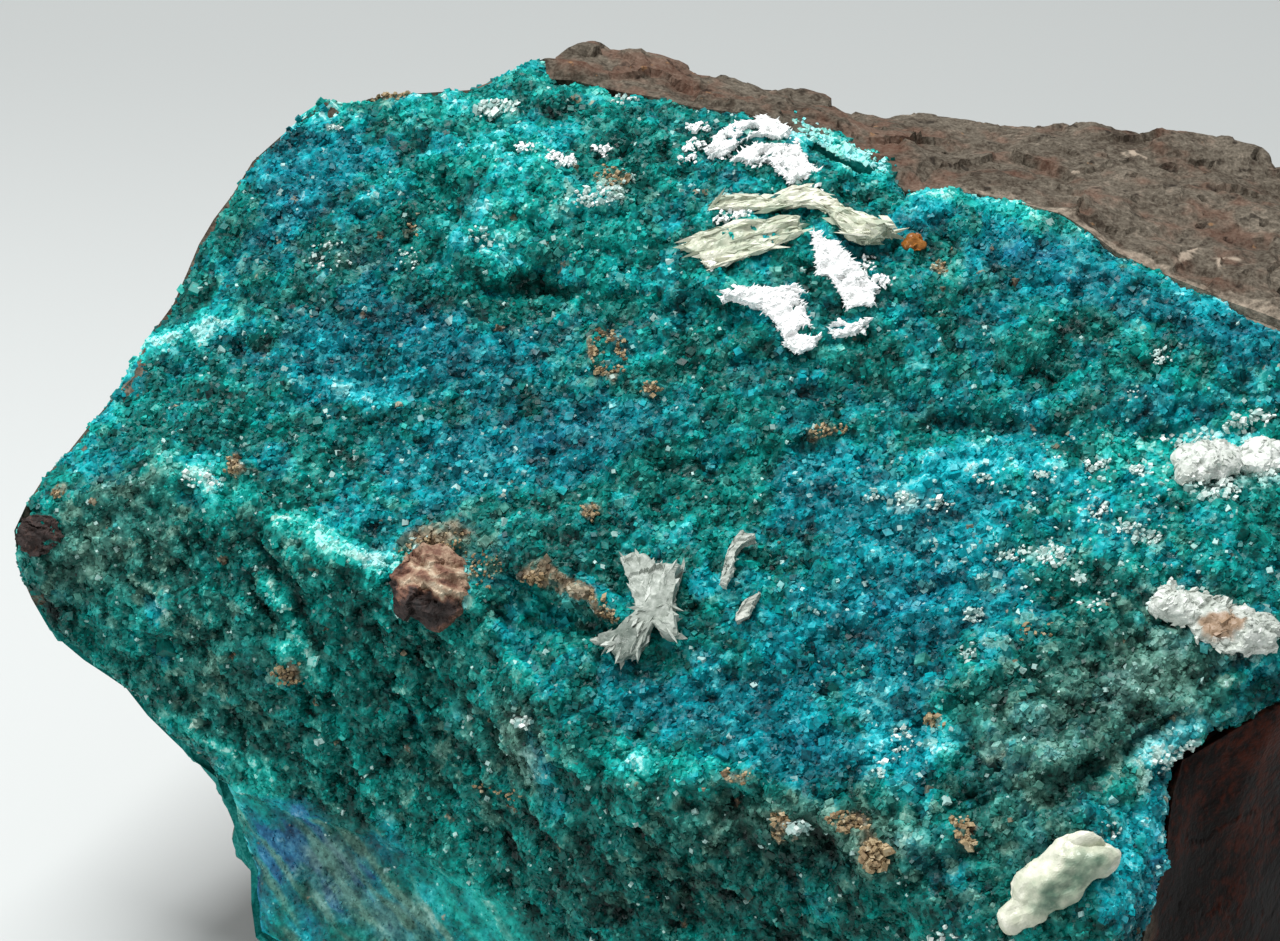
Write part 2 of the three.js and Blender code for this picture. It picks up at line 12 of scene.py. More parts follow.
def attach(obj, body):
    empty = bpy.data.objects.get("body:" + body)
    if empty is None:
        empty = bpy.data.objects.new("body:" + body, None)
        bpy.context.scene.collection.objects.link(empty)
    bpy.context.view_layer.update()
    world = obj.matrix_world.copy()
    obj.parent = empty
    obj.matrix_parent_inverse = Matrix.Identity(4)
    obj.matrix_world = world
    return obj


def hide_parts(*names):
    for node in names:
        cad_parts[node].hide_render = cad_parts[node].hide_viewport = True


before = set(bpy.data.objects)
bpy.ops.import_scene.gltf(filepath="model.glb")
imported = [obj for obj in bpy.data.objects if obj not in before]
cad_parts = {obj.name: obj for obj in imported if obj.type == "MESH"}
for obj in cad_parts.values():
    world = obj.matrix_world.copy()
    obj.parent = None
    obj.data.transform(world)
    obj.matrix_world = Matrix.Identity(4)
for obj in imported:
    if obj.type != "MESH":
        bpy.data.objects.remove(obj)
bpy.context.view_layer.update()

# The measuring frame: across, up and out, as the shown side is looked at
MM = 0.001
TURN = math.radians(10)
TILT = math.radians(28)
TARGET = np.array([-7.086, -9.934, 51.0])
VIEW_DISTANCE = 230.0
OUT = np.array([math.sin(TURN) * math.cos(TILT), -math.cos(TURN) * math.cos(TILT), math.sin(TILT)])
ACROSS = np.array([math.cos(TURN), math.sin(TURN), 0.0])
UP = np.cross(OUT, ACROSS)
AXES = np.stack([ACROSS, UP, OUT])

# The photograph's frame: 12 pixels a millimetre at the target
FRAME_WIDTH = 1280
FRAME_HEIGHT = 941
PIXELS = 12.0
SENSOR = 36.0
LENS = SENSOR * VIEW_DISTANCE * PIXELS / FRAME_WIDTH

# The stone's mesh: edges, how far the crust and the rock look for each other, where the back starts, as
# an out of the measuring frame, and how high the flat base reaches
CRUST_EDGE = 0.52
COARSE_CRUST_EDGE = 2.6 * CRUST_EDGE
HIDDEN_EDGE = 3.0
ROCK_EDGE = 0.62
ROCK_BACK_EDGE = 1.25
MERGE_STEP = 1e-3
CONTACT_REACH = 2.2
BACK_START = -34
BASE_HEIGHT = 0.02

# The crust's border: how wide it is, how far it is pushed out and down, and how freely it is smoothed
BORDER_REACH = 2.0
BORDER_PUSH = 0.85
BORDER_DIP = 0.6
BORDER_FREEDOM = 0.3
ROCK_EASE_REACH = 1.6

# Which way the grain runs on each face, in the measuring frame
UPPER_GRAIN = (1, 0.3, 0.05)
FRONT_GRAIN = (0.3, -1, 0.2)
SMOOTH_GRAIN = (0.62, -0.78, 0.1)
ROCK_GRAIN = (1, 0.12, 0.0)
PALE_GRAIN = (1, 0.33, 0.1)

# The small crystals
GRAIN_COUNT = 70000
GRAIN_PIECES = 5
EDGE_GRAIN_COUNT = 320
GRAIN_RADIUS = 0.21
GRAIN_SPREAD = 0.35
GRAIN_TILT = 0.9
CLUMP_SIZE = 0.8
CRYSTAL_POINTS = 8
SEED = 11

# The floor's half width in metres, the lights as name, way, distance, size and watts, and the air
FLOOR_HALF = 4.0
LIGHTS = [
    ("key", (-0.1, 0.9, 0.4), 0.8, 0.42, 8.7),
    ("fill", (-0.85, 0.1, 0.5), 1.0, 0.6, 4.0),
]
AIR = "eef2f4"
AIR_STRENGTH = 0.38


# Numbers on points

def measured(points):
    """Across, up and out of points."""
    return (points - TARGET) @ AXES.T


def pictured(points):
    """Where points are seen in the photograph, in its pixels: across and up times distance over depth."""
    place = measured(points)
    scale = PIXELS * VIEW_DISTANCE / (VIEW_DISTANCE - place[:, 2])
    return np.stack([FRAME_WIDTH / 2 + place[:, 0] * scale, FRAME_HEIGHT / 2 - place[:, 1] * scale], 1)


def hashed(cells, seed):
    """A fixed number for every lattice point: its three counts mixed by multiplying and shifting bits."""
    counts = cells.astype(np.int64).astype(np.uint32)
    mixed = np.uint32(seed * 1013904223 % 2**32)
    for k, factor in enumerate((374761393, 668265263, 2246822519)):
        mixed = mixed + counts[..., k] * np.uint32(factor)
    for shift, factor in ((15, 2246822519), (13, 3266489917)):
        mixed = (mixed ^ (mixed >> np.uint32(shift))) * np.uint32(factor)
    return mixed ^ (mixed >> np.uint32(16))


def three_parts(numbers):
    """Three numbers of ten bits each, 0 to 1023, out of fixed numbers."""
    return np.stack([numbers >> np.uint32(10 * k) & 1023 for k in range(3)], -1)


def slopes(numbers):
    """Slopes of -1 to 1 out of fixed numbers."""
    return three_parts(numbers) / 511.5 - 1


def noise(points, seed):
    """Gradient noise of lattice spacing 1: each lattice point has a fixed random slope, and the planes of
    the eight round a point are blended with quintic weights. About -1 to 1."""
    cell = np.floor(points)
    local = points - cell
    blend = local ** 3 * (local * (local * 6 - 15) + 10)
    total = np.zeros(len(points))
    for corner in range(8):
        step = np.array([corner & 1, corner >> 1 & 1, corner >> 2 & 1])
        weight = np.prod(np.where(step == 1, blend, 1 - blend), axis=1)
        total += weight * ((local - step) * slopes(hashed(cell + step, seed))).sum(1)
    return 1.6 * total


def layered(points, wavelength, octaves, seed, gain=0.5):
    """Gradient noise added up at halving wavelengths, each a share of the height of the last."""
    total = 0
    for k in range(octaves):
        total = total + gain ** k * noise(points * (2 ** k / wavelength), seed + 17 * k)
    return total


def ridged(points, wavelength, octaves, seed):
    """One minus the size of noise, which makes sharp crests, about 0 to 1 at each octave."""
    total = 0
    for k in range(octaves):
        total = total + 0.5 ** k * (1 - 2 * np.abs(noise(points * (2 ** k / wavelength), seed + 29 * k)))
    return total


def cells(points, wavelength, seed):
    """Distance to the nearest of random points, one in each cell of a lattice, that point's number, and the
    height there of a plane through it with a random slope, which makes facets."""
    scaled = points / wavelength
    cell = np.floor(scaled)
    closest = np.full(len(points), 9.0)
    number = np.zeros(len(points))
    plane = np.zeros(len(points))
    for i in range(27):
        near = cell + np.array([i % 3 - 1, i // 3 % 3 - 1, i // 9 - 1])
        spot = near + three_parts(hashed(near, seed)) / 1023.0
        away = np.linalg.norm(scaled - spot, axis=1)
        closer = away < closest
        closest[closer] = away[closer]
        mixed = hashed(near[closer], seed + 1)
        number[closer] = (mixed >> np.uint32(7) & 4095) / 4095.0
        plane[closer] = ((scaled[closer] - spot[closer]) * slopes(mixed)).sum(1)
    return closest, number, plane


def ramp(values, low, high):
    """0 below low, 1 above high, and smooth between."""
    t = np.clip((values - low) / (high - low), 0, 1)
    return t * t * (3 - 2 * t)


def warped(points, wavelength, seed):
    """Points moved about by noise, which bends the straight borders of cells of that wavelength."""
    moves = [noise(points / wavelength + 31.7 * k, seed) for k in range(3)]
    return points + 0.35 * wavelength * np.stack(moves, 1)


def unit(vectors):
    """Vectors made 1 long."""
    return vectors / np.maximum(np.linalg.norm(vectors, axis=-1, keepdims=True), 1e-9)


def striped(points, direction, stretch):
    """Points with their distance along a direction of the measuring frame divided by stretch, so that noise
    on them forms streaks."""
    place = measured(points)
    way = unit(np.array(direction, float))
    along = place @ way
    return place + np.outer(along / stretch - along, way)


# Meshes

def node_mesh(name):
    """The points and triangles of a CAD node, in millimetres, with its doubled points merged."""
    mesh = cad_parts[name].data
    points = np.zeros(3 * len(mesh.vertices))
    mesh.vertices.foreach_get("co", points)
    points = points.reshape(-1, 3) / MM
    mesh.calc_loop_triangles()
    triangles = np.zeros(3 * len(mesh.loop_triangles), np.int64)
    mesh.loop_triangles.foreach_get("vertices", triangles)
    keys = np.round(points / MERGE_STEP).astype(np.int64)
    _, first, index = np.unique(keys, axis=0, return_index=True, return_inverse=True)
    triangles = index.reshape(-1)[triangles].reshape(-1, 3)
    distinct = (triangles != np.roll(triangles, 1, axis=1)).all(axis=1)
    return points[first], triangles[distinct]


def refined(points, triangles, longest):
    """Halves every edge that is longer than its triangles allow at its middle, until none is left. longest
    has one length for each triangle, and its parts keep it."""
    while True:
        count = len(points)
        ends = np.sort(triangles[:, [[0, 1], [1, 2], [2, 0]]].reshape(-1, 2), axis=1)
        keys, index = np.unique(ends[:, 0] * count + ends[:, 1], return_inverse=True)
        index = index.reshape(-1)
        a, b = keys // count, keys % count
        allowed = np.full(len(keys), np.inf)
        np.minimum.at(allowed, index, np.repeat(longest, 3))
        split = np.linalg.norm(points[a] - points[b], axis=1) > allowed
        if not split.any():
            return points, triangles, longest
        middle = np.where(split, count + np.cumsum(split) - 1, -1)[index].reshape(-1, 3)
        points = np.vstack([points, (points[a[split]] + points[b[split]]) / 2])
        # Each triangle is turned so that its first edge is split, and its last one is not unless all are
        is_split = middle >= 0
        first = np.argmax(is_split & ~np.roll(is_split, 1, axis=1), axis=1)
        turn = (first[:, None] + np.arange(3)) % 3
        corner = np.take_along_axis(triangles, turn, 1)
        middle = np.take_along_axis(middle, turn, 1)
        number = is_split.sum(1)
        whole, one, two, three = (number == k for k in range(4))
        parts = [corner[whole]]
        owners = [np.flatnonzero(whole)]
        c, m = corner.T, middle.T
        for chosen, pieces in (
            (one, [(c[0], m[0], c[2]), (m[0], c[1], c[2])]),
            (two, [(c[0], m[0], m[1]), (m[0], c[1], m[1]), (c[0], m[1], c[2])]),
            (three, [(c[0], m[0], m[2]), (m[0], c[1], m[1]), (m[2], m[1], c[2]), (m[0], m[1], m[2])]),
        ):
            for piece in pieces:
                parts.append(np.stack(piece, 1)[chosen])
                owners.append(np.flatnonzero(chosen))
        triangles = np.vstack(parts)
        longest = longest[np.concatenate(owners)]


def added_up(triangles, values, count):
    """Sums three values, one for each corner of the triangles, at the points."""
    flat = triangles.reshape(-1)
    return np.stack([np.bincount(flat, values[..., k].reshape(-1), count) for k in range(3)], 1)


def relaxed(points, triangles, share, times, weight=1.0):
    """Moves points a share of the way to the middle of their neighbours, a number of times."""
    n = len(points)
    counts = np.maximum(np.bincount(triangles.reshape(-1), minlength=n), 1)[:, None]
    for _ in range(times):
        following = points[np.roll(triangles, -1, axis=1)]
        middle = added_up(triangles, following, n) / counts
        points = points + (middle - points) * (share * weight)
    return points


def face_normals(points, triangles):
    """The triangles' normals, as long as twice their area."""
    a, b, c = (points[triangles[:, k]] for k in range(3))
    return np.cross(b - a, c - a)


def point_normals(points, triangles):
    """The unit normal at each point: the sum of those of its triangles."""
    normal = face_normals(points, triangles)
    total = added_up(triangles, np.repeat(normal[:, None], 3, axis=1), len(points))
    return unit(total)


def facing(points, triangles, others, reach):
    """Whether a ray from each triangle's middle along its normal meets the other mesh within reach."""
    tree = BVHTree.FromPolygons(others[0].tolist(), others[1].tolist())
    middles = points[triangles].mean(1)
    normals = unit(face_normals(points, triangles))
    hits = [tree.ray_cast(Vector(m), Vector(n), reach)[0]
            for m, n in zip(middles.tolist(), normals.tolist())]
    return np.array([hit is not None for hit in hits])


def nearest(points, others, chunk=4000):
    """Index of, and distance to, the nearest of some other points."""
    index = np.zeros(len(points), int)
    away = np.zeros(len(points))
    squares = (others ** 2).sum(1)
    for start in range(0, len(points), chunk):
        part = points[start:start + chunk]
        square = (part ** 2).sum(1)[:, None] + squares - 2 * part @ others.T
        index[start:start + chunk] = square.argmin(1)
        away[start:start + chunk] = np.sqrt(np.maximum(square.min(1), 0))
    return index, away


def on(points, triangles):
    """1 at the points of some triangles and 0 at the others, in a column."""
    weight = np.zeros((len(points), 1))
    weight[np.unique(triangles)] = 1
    return weight


def added(name, data):
    """A new object in the scene."""
    thing = bpy.data.objects.new(name, data)
    bpy.context.scene.collection.objects.link(thing)
    return thing


def write_piece(name, points, triangles, look, slot, fields, replaced=()):
    """A mesh object at the origin from points in millimetres and triangles, flatly shaded, with a colour
    attribute for each of the fields, which rides on the stone."""
    mesh = bpy.data.meshes.new(name)
    mesh.vertices.add(len(points))
    mesh.vertices.foreach_set("co", (points * MM).astype(np.float32).reshape(-1))
    mesh.loops.add(3 * len(triangles))
    mesh.loops.foreach_set("vertex_index", triangles.astype(np.int32).reshape(-1))
    mesh.polygons.add(len(triangles))
    mesh.polygons.foreach_set("loop_start", np.arange(0, 3 * len(triangles), 3, dtype=np.int32))
    mesh.polygons.foreach_set("use_smooth", np.zeros(len(triangles), bool))
    mesh.update(calc_edges=True)
    for field, values in fields.items():
        attribute = mesh.attributes.new(field, "FLOAT_COLOR", "POINT")
        four = np.concatenate([values, np.ones((len(values), 1))], 1)
        attribute.data.foreach_set("color", four.astype(np.float32).reshape(-1))
    piece = added(name, mesh)
    mesh.materials.append(look)
    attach(piece, "root")
    if replaced:
        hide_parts(*replaced)


# Where the colours lie, in pixels of the photograph: place, half sizes, turn in degrees, strength

ROYAL = [
    (285, 850, 38, 46, -30, 0.9), (342, 884, 24, 60, -35, 0.7), (246, 905, 20, 46, 0, 0.7),
    (395, 915, 46, 22, -30, 0.4), (160, 605, 24, 13, 60, 0.5), (166, 655, 12, 10, 0, 0.5),
    (535, 752, 15, 50, 15, 0.35), (390, 345, 110, 40, 15, 0.28), (560, 440, 140, 30, 10, 0.22),
    (1060, 272, 130, 22, -18, 0.35), (900, 590, 80, 40, 15, 0.25), (1165, 880, 20, 60, -10, 0.4),
    (800, 745, 60, 20, 0, 0.3), (300, 200, 40, 40, 0, 0.25), (1240, 340, 60, 26, -15, 0.3),
]
BLUE = [
    (325, 165, 70, 40, 20, 0.5), (300, 215, 40, 60, -20, 0.35), (345, 340, 110, 60, 20, 0.45),
    (350, 390, 40, 14, 0, 0.35), (480, 360, 90, 30, 15, 0.4), (520, 440, 150, 40, 10, 0.3),
    (460, 470, 110, 60, 10, 0.3), (825, 480, 60, 45, 10, 0.65), (920, 500, 90, 50, 15, 0.5),
    (1030, 500, 110, 50, 5, 0.3), (880, 600, 110, 60, 20, 0.5), (720, 690, 120, 40, 5, 0.5),
    (800, 745, 110, 35, -5, 0.6), (900, 730, 40, 60, 10, 0.6), (950, 600, 80, 60, 10, 0.35),
    (1000, 245, 50, 25, -15, 0.35), (1100, 270, 90, 25, -20, 0.45), (1230, 330, 60, 40, -15, 0.4),
    (930, 215, 35, 18, 0, 0.5), (1160, 410, 90, 25, 0, 0.3), (1145, 860, 40, 90, -15, 0.65),
    (1190, 740, 60, 20, 25, 0.4), (190, 500, 30, 14, 0, 0.4), (215, 765, 60, 12, -30, 0.4),
    (50, 460, 40, 14, 40, 0.3),
]
# Lighter parts of the crust: partly lighter crystals, partly painted light where bulges and the faces below
# ledges catch it; those below 0 darken
LIGHT = [
    (545, 190, 60, 42, 10, 0.2), (485, 238, 30, 28, 20, 0.32), (500, 150, 60, 26, 10, 0.22),
    (330, 112, 40, 14, 15, 0.25), (440, 105, 60, 16, 5, 0.25), (520, 72, 40, 18, 0, 0.2),
    (345, 385, 44, 16, -5, 0.3), (120, 355, 34, 24, 40, 0.2), (200, 328, 70, 14, 25, 0.3),
    (70, 460, 50, 20, 42, 0.22), (200, 474, 44, 20, -12, 0.5), (160, 605, 24, 13, 60, 0.35),
    (350, 552, 54, 11, -26, 0.38), (390, 560, 20, 12, -10, 0.4), (300, 520, 30, 8, -25, 0.4),
    (810, 130, 40, 12, -25, 0.55), (860, 160, 26, 14, -15, 0.4), (935, 190, 20, 18, 0, 0.35),
    (1010, 215, 60, 10, -20, 0.25), (1210, 300, 60, 12, -20, 0.2), (820, 478, 60, 36, 10, -0.06),
    (1030, 470, 180, 28, 0, 0.26), (1200, 440, 90, 20, 5, 0.3), (1060, 545, 160, 40, 12, 0.14),
    (640, 765, 90, 14, 5, 0.35), (890, 760, 24, 40, 15, 0.25), (940, 740, 20, 40, 0, 0.3),
    (1160, 745, 60, 12, 28, 0.4), (1130, 840, 26, 60, -10, 0.3), (290, 612, 10, 46, 28, 0.2),
    (470, 905, 60, 30, -30, 0.3), (350, 900, 110, 50, -35, 0.06), (240, 790, 40, 26, -30, 0.25),
    (605, 90, 50, 14, -10, 0.2), (290, 650, 14, 14, 0, 0.25), (900, 825, 40, 10, -40, 0.3),
    (220, 750, 60, 8, -32, 0.4), (160, 290, 14, 40, -30, 0.2), (600, 240, 60, 30, 0, 0.12),
    (1060, 720, 110, 60, 20, -0.07), (800, 885, 200, 55, 0, -0.16), (560, 900, 60, 50, 0, -0.06),
]
# Hollows, steps and slopes that face away from the light: sunk in the relief and darkened with painted
# shade
SHADED_HOLLOWS = [
    (545, 288, 72, 8, 2, 0.75), (262, 548, 8, 44, 32, 0.7), (300, 600, 7, 50, 28, 0.5),
    (468, 205, 10, 30, -25, 0.5), (450, 262, 40, 10, 20, 0.35), (592, 625, 34, 9, -20, 0.9),
    (620, 635, 10, 12, 0, 0.6), (1010, 425, 180, 10, -2, 0.35), (950, 410, 260, 26, -3, 0.15),
    (1000, 785, 46, 10, 15, 0.5), (1130, 690, 60, 10, 20, 0.35), (1060, 640, 50, 8, 15, 0.3),
    (1090, 770, 50, 9, 30, 0.35), (940, 690, 30, 8, 30, 0.3), (1040, 870, 50, 10, 30, 0.35),
    (930, 860, 30, 40, 20, 0.3), (380, 700, 60, 90, 0, 0.22), (420, 760, 90, 40, -30, 0.22),
    (600, 800, 60, 40, -20, 0.25), (740, 870, 140, 60, 0, 0.18), (560, 900, 60, 60, 0, 0.25),
    (225, 535, 40, 60, -30, 0.2), (330, 625, 60, 40, -20, 0.22), (140, 395, 50, 8, 35, 0.35),
    (210, 345, 40, 6, 20, 0.3), (1240, 690, 60, 8, 30, 0.3), (880, 400, 60, 8, 10, 0.25),
    (700, 320, 90, 12, 15, 0.2), (840, 345, 60, 10, 25, 0.2), (300, 760, 90, 8, -28, 0.3),
    (370, 372, 60, 6, 5, 0.25), (760, 790, 60, 10, 5, 0.25),
]
GREY = [
    (130, 545, 80, 70, 20, 0.6), (225, 695, 80, 60, -20, 0.45), (60, 560, 40, 60, 0, 0.35),
    (1060, 720, 130, 80, 20, 0.8), (1160, 640, 70, 50, 0, 0.5), (1020, 850, 90, 60, 30, 0.5),
    (800, 820, 110, 30, -5, 0.6), (880, 850, 60, 50, 0, 0.5), (610, 190, 60, 36, 0, 0.4),
    (330, 250, 40, 26, 0, 0.35), (355, 262, 26, 30, 0, 0.35), (250, 270, 40, 50, 0, 0.25),
    (360, 112, 40, 20, 0, 0.3), (520, 730, 24, 60, 15, 0.4), (700, 860, 160, 60, 0, 0.35),
    (470, 590, 60, 60, 0, 0.3), (450, 540, 60, 26, 10, 0.5), (320, 870, 60, 60, -35, 0.4),
    (400, 930, 60, 40, -35, 0.45), (610, 350, 40, 30, 0, 0.35), (1180, 700, 70, 60, 20, 0.4),
    (280, 540, 60, 30, 0, 0.3), (460, 760, 80, 70, 0, 0.3), (980, 620, 60, 40, 0, 0.25),
    (240, 620, 70, 30, 0, 0.25), (140, 480, 60, 10, 15, 0.5), (1080, 560, 120, 40, 10, 0.25),
    (850, 440, 50, 20, 0, 0.25), (570, 600, 40, 16, -30, 0.5), (330, 852, 26, 18, -40, 0.5),
    (360, 900, 120, 30, -40, 0.25), (520, 750, 20, 40, 15, 0.5),
]
# Whitish parts of the crust
PALE = [
    (192, 470, 34, 16, -15, 0.7), (380, 558, 30, 11, -18, 0.6), (912, 502, 28, 13, 0, 0.6),
    (1052, 553, 34, 9, 12, 0.75), (1000, 560, 16, 7, 0, 0.5), (1094, 463, 20, 8, 0, 0.65),
    (1140, 472, 18, 9, 0, 0.65), (1140, 533, 28, 9, -15, 0.6), (972, 614, 13, 9, 0, 0.55),
    (1212, 480, 46, 26, 0, 0.7), (1264, 468, 24, 16, 0, 1.0), (1160, 597, 28, 9, -22, 0.6),
    (1240, 648, 44, 22, -20, 0.6), (1158, 775, 12, 40, -35, 0.55), (1148, 862, 10, 44, -12, 0.4),
    (800, 826, 14, 8, 0, 0.7), (518, 716, 12, 10, 0, 0.7), (522, 755, 10, 32, 15, 0.35),
    (860, 160, 28, 9, -22, 0.5), (968, 190, 36, 8, -6, 0.5), (500, 108, 40, 10, 5, 0.4),
    (600, 196, 30, 10, 5, 0.4), (290, 870, 10, 40, -38, 0.35), (372, 880, 8, 46, -40, 0.35),
    (1096, 512, 18, 8, 10, 0.5), (640, 765, 90, 6, 3, 0.25), (740, 350, 60, 5, 15, 0.25),
    (440, 398, 60, 5, 3, 0.35), (772, 206, 34, 8, 5, 0.6), (738, 562, 12, 24, 30, 0.3),
    (950, 420, 20, 5, 10, 0.3),
]
RUST = [
    (652, 387, 10, 8, 0, 0.9), (590, 510, 11, 9, 0, 0.8), (536, 576, 14, 11, 0, 1.0),
    (827, 431, 20, 7, 10, 0.8), (871, 852, 17, 20, 0, 0.9), (290, 673, 17, 11, -10, 0.95),
    (234, 466, 7, 14, 10, 0.9), (738, 776, 30, 8, -5, 0.6), (612, 185, 22, 16, 0, 0.5),
    (390, 94, 26, 9, 0, 0.9), (850, 822, 26, 12, -10, 0.7), (780, 825, 14, 20, 0, 0.7),
    (578, 592, 54, 9, -38, 0.9), (60, 492, 10, 9, 0, 0.6), (430, 540, 40, 14, 10, 0.5),
    (592, 352, 6, 16, 0, 0.8), (622, 352, 6, 14, 0, 0.6), (608, 334, 16, 5, 0, 0.7),
    (608, 372, 16, 5, 0, 0.7), (330, 246, 14, 8, 0, 0.35), (412, 232, 8, 8, 0, 0.6),
    (285, 385, 14, 10, 0, 0.4), (940, 268, 9, 8, 0, 0.7), (250, 470, 8, 8, 0, 0.5),
    (480, 790, 16, 8, 0, 0.5), (520, 715, 12, 10, 0, 0.4), (805, 540, 10, 8, 0, 0.4),
    (960, 835, 12, 24, 20, 0.5), (935, 720, 12, 10, 0, 0.5), (1000, 760, 30, 8, 10, 0.35),
    (355, 640, 16, 8, 0, 0.4), (700, 560, 8, 6, 0, 0.3), (1040, 630, 24, 8, 10, 0.35),
    (470, 575, 34, 26, 0, 0.35), (210, 735, 30, 8, -20, 0.35), (120, 560, 26, 14, 20, 0.25),
    (1155, 540, 26, 8, 10, 0.3), (270, 420, 10, 7, 0, 0.4), (215, 250, 8, 10, 0, 0.4),
    (1050, 715, 100, 60, 20, 0.2), (450, 535, 50, 20, 12, 0.3), (170, 480, 40, 8, 18, 0.3),
]
# Teal blue takes this share of the blue number, and royal blue the rest
BLUE_SHARE = 0.6
# The ridge between the upper face and the front, and the ledge over the smooth face below the front
RIDGE = [
    (0, 560), (60, 500), (110, 490), (150, 468), (174, 462), (236, 500), (300, 543), (360, 568), (400, 588),
    (440, 592), (480, 612), (530, 672), (562, 740), (620, 778), (700, 781), (750, 774), (830, 804),
    (880, 832), (930, 880), (955, 945), (975, 1100),
]
LEDGE = [
    (100, 700), (165, 742), (215, 781), (300, 801), (380, 830), (460, 878), (515, 903), (560, 945),
    (700, 1100),
]


def frayed(seen, points, amount, wavelength, seed):
    """Places in the photograph moved about by noise."""
    return seen + amount * np.stack([layered(points, wavelength, 3, seed + k) for k in (0, 5)], 1)


def patches(table, seen, points, seed):
    """The sum of soft ellipses at places in the photograph, their edges frayed by noise."""
    moved = frayed(seen, points, 9, 2.2, seed)
    total = np.zeros(len(points))
    for x, y, half_width, half_height, turn, strength in table:
        angle = math.radians(turn)
        dx, dy = moved[:, 0] - x, y - moved[:, 1]
        along = (dx * math.cos(angle) + dy * math.sin(angle)) / half_width
        across = (dy * math.cos(angle) - dx * math.sin(angle)) / half_height
        total += strength * np.exp(-(along ** 2 + across ** 2) ** 1.3)
    return total


# Small steps in the crust, as lines across the photograph with their high side above, a height in
# millimetres, which is below 0 where the lower side is above, and a reach in pixels
CLIFFS = [
    ([(425, 150), (452, 192), (470, 214), (445, 238), (452, 262), (480, 277), (520, 288), (600, 294),
      (700, 300)], 1.6, 55),
    ([(740, 452), (860, 432), (960, 418), (1060, 420), (1180, 431), (1290, 432)], 1.0, 45),
    ([(522, 580), (556, 592), (600, 608), (638, 622)], 1.6, 30),
    ([(95, 425), (140, 398), (205, 350), (262, 332), (340, 348)], 0.8, 28),
    ([(250, 420), (330, 372), (410, 366)], 0.6, 30),
    ([(985, 802), (1040, 782), (1100, 762), (1150, 726)], 1.2, 32),
    ([(925, 716), (1000, 684), (1060, 652), (1120, 642)], 1.0, 32),
    ([(890, 905), (940, 862), (985, 840)], 0.9, 30),
    ([(1060, 900), (1085, 868), (1130, 800)], 0.7, 26),
    ([(700, 362), (780, 352), (870, 330), (960, 296), (1040, 286)], 0.7, 24),
    ([(560, 372), (640, 345), (720, 322)], 0.6, 22),
    ([(228, 500), (252, 556), (286, 606), (300, 668)], -1.0, 30),
    ([(600, 250), (700, 236), (800, 262)], 0.5, 26),
    ([(860, 620), (930, 590), (1010, 578), (1090, 590)], 0.7, 30),
    ([(640, 700), (740, 668), (850, 660)], 0.6, 34),
    ([(1140, 690), (1210, 676), (1270, 640)], 0.8, 26),
    ([(170, 762), (300, 812), (400, 850), (480, 892)], 0.9, 22),
    ([(330, 130), (420, 140), (480, 120)], 0.5, 24),
]
# Small crests, as lines with a height in millimetres, a half width in pixels and how much painted light
# lightens them
CRESTS = [
    ([(548, 578), (580, 588), (606, 606), (626, 624)], 0.7, 7, 0.1),
    ([(468, 598), (500, 640), (540, 690)], 0.5, 11, 0.18),
    ([(120, 352), (165, 338), (230, 322)], 0.3, 8, 0.3),
    ([(240, 500), (300, 540), (345, 553), (395, 572)], 0.35, 13, 0.14),
    ([(165, 468), (200, 480), (232, 500)], 0.3, 16, 0.15),
    ([(268, 586), (290, 620), (314, 664)], 0.4, 6, 0.5),
    ([(350, 396), (410, 404), (460, 392)], 0.25, 6, 0.25),
    ([(785, 128), (812, 136), (834, 152), (878, 160), (882, 172)], 0.2, 8, 0.42),
    ([(935, 180), (1000, 196), (1040, 212)], 0.2, 8, 0.3),
    ([(1140, 764), (1172, 752), (1208, 744)], 0.2, 8, 0.3),
    ([(600, 290), (680, 272), (760, 280)], 0.3, 6, 0.15),
    ([(1130, 690), (1200, 700), (1270, 660)], 0.3, 8, 0.2),
]


def to_line(line, seen):
    """Distance from a line to where points are seen, and on which side of its nearest part they lie: 1 is
    above a line that runs to the right."""
    best = np.full(len(seen), 1e9)
    side = np.zeros(len(seen))
    for a, b in zip(np.array(line[:-1], float), np.array(line[1:], float)):
        d = b - a
        share = np.clip((seen - a) @ d / (d @ d), 0, 1)
        offset = seen - a - share[:, None] * d
        away = np.hypot(offset[:, 0], offset[:, 1])
        closer = away < best
        best[closer] = away[closer]
        side[closer] = np.sign(d[1] * offset[closer, 0] - d[0] * offset[closer, 1])
    return best, side


def cliffs(seen, points):
    """Steps up across the lines: half the height on each side, fading away from the line."""
    moved = frayed(seen, points, 10, 4, 91)
    total = np.zeros(len(points))
    for line, height, reach in CLIFFS:
        away, side = to_line(line, moved)
        total += height * side * ramp(away, 0, 5) * np.exp(-away / reach) / 2
    return total


def crests(seen, points):
    """The height of the crests, and how much painted light lightens points there."""
    moved = frayed(seen, points, 5, 2.5, 191)
    height = np.zeros(len(points))
    crest_light = np.zeros(len(points))
    for line, rise, half_width, light in CRESTS:
        shape = np.exp(-(to_line(line, moved)[0] / half_width) ** 2)
        height += rise * shape
        crest_light += light * shape
    return height, crest_light


def below(line, seen, width=8.0):
    """1 below a line across the photograph, 0 above it."""
    x, y = np.array(line, float).T
    return ramp(seen[:, 1] - np.interp(seen[:, 0], x, y), -width, width)


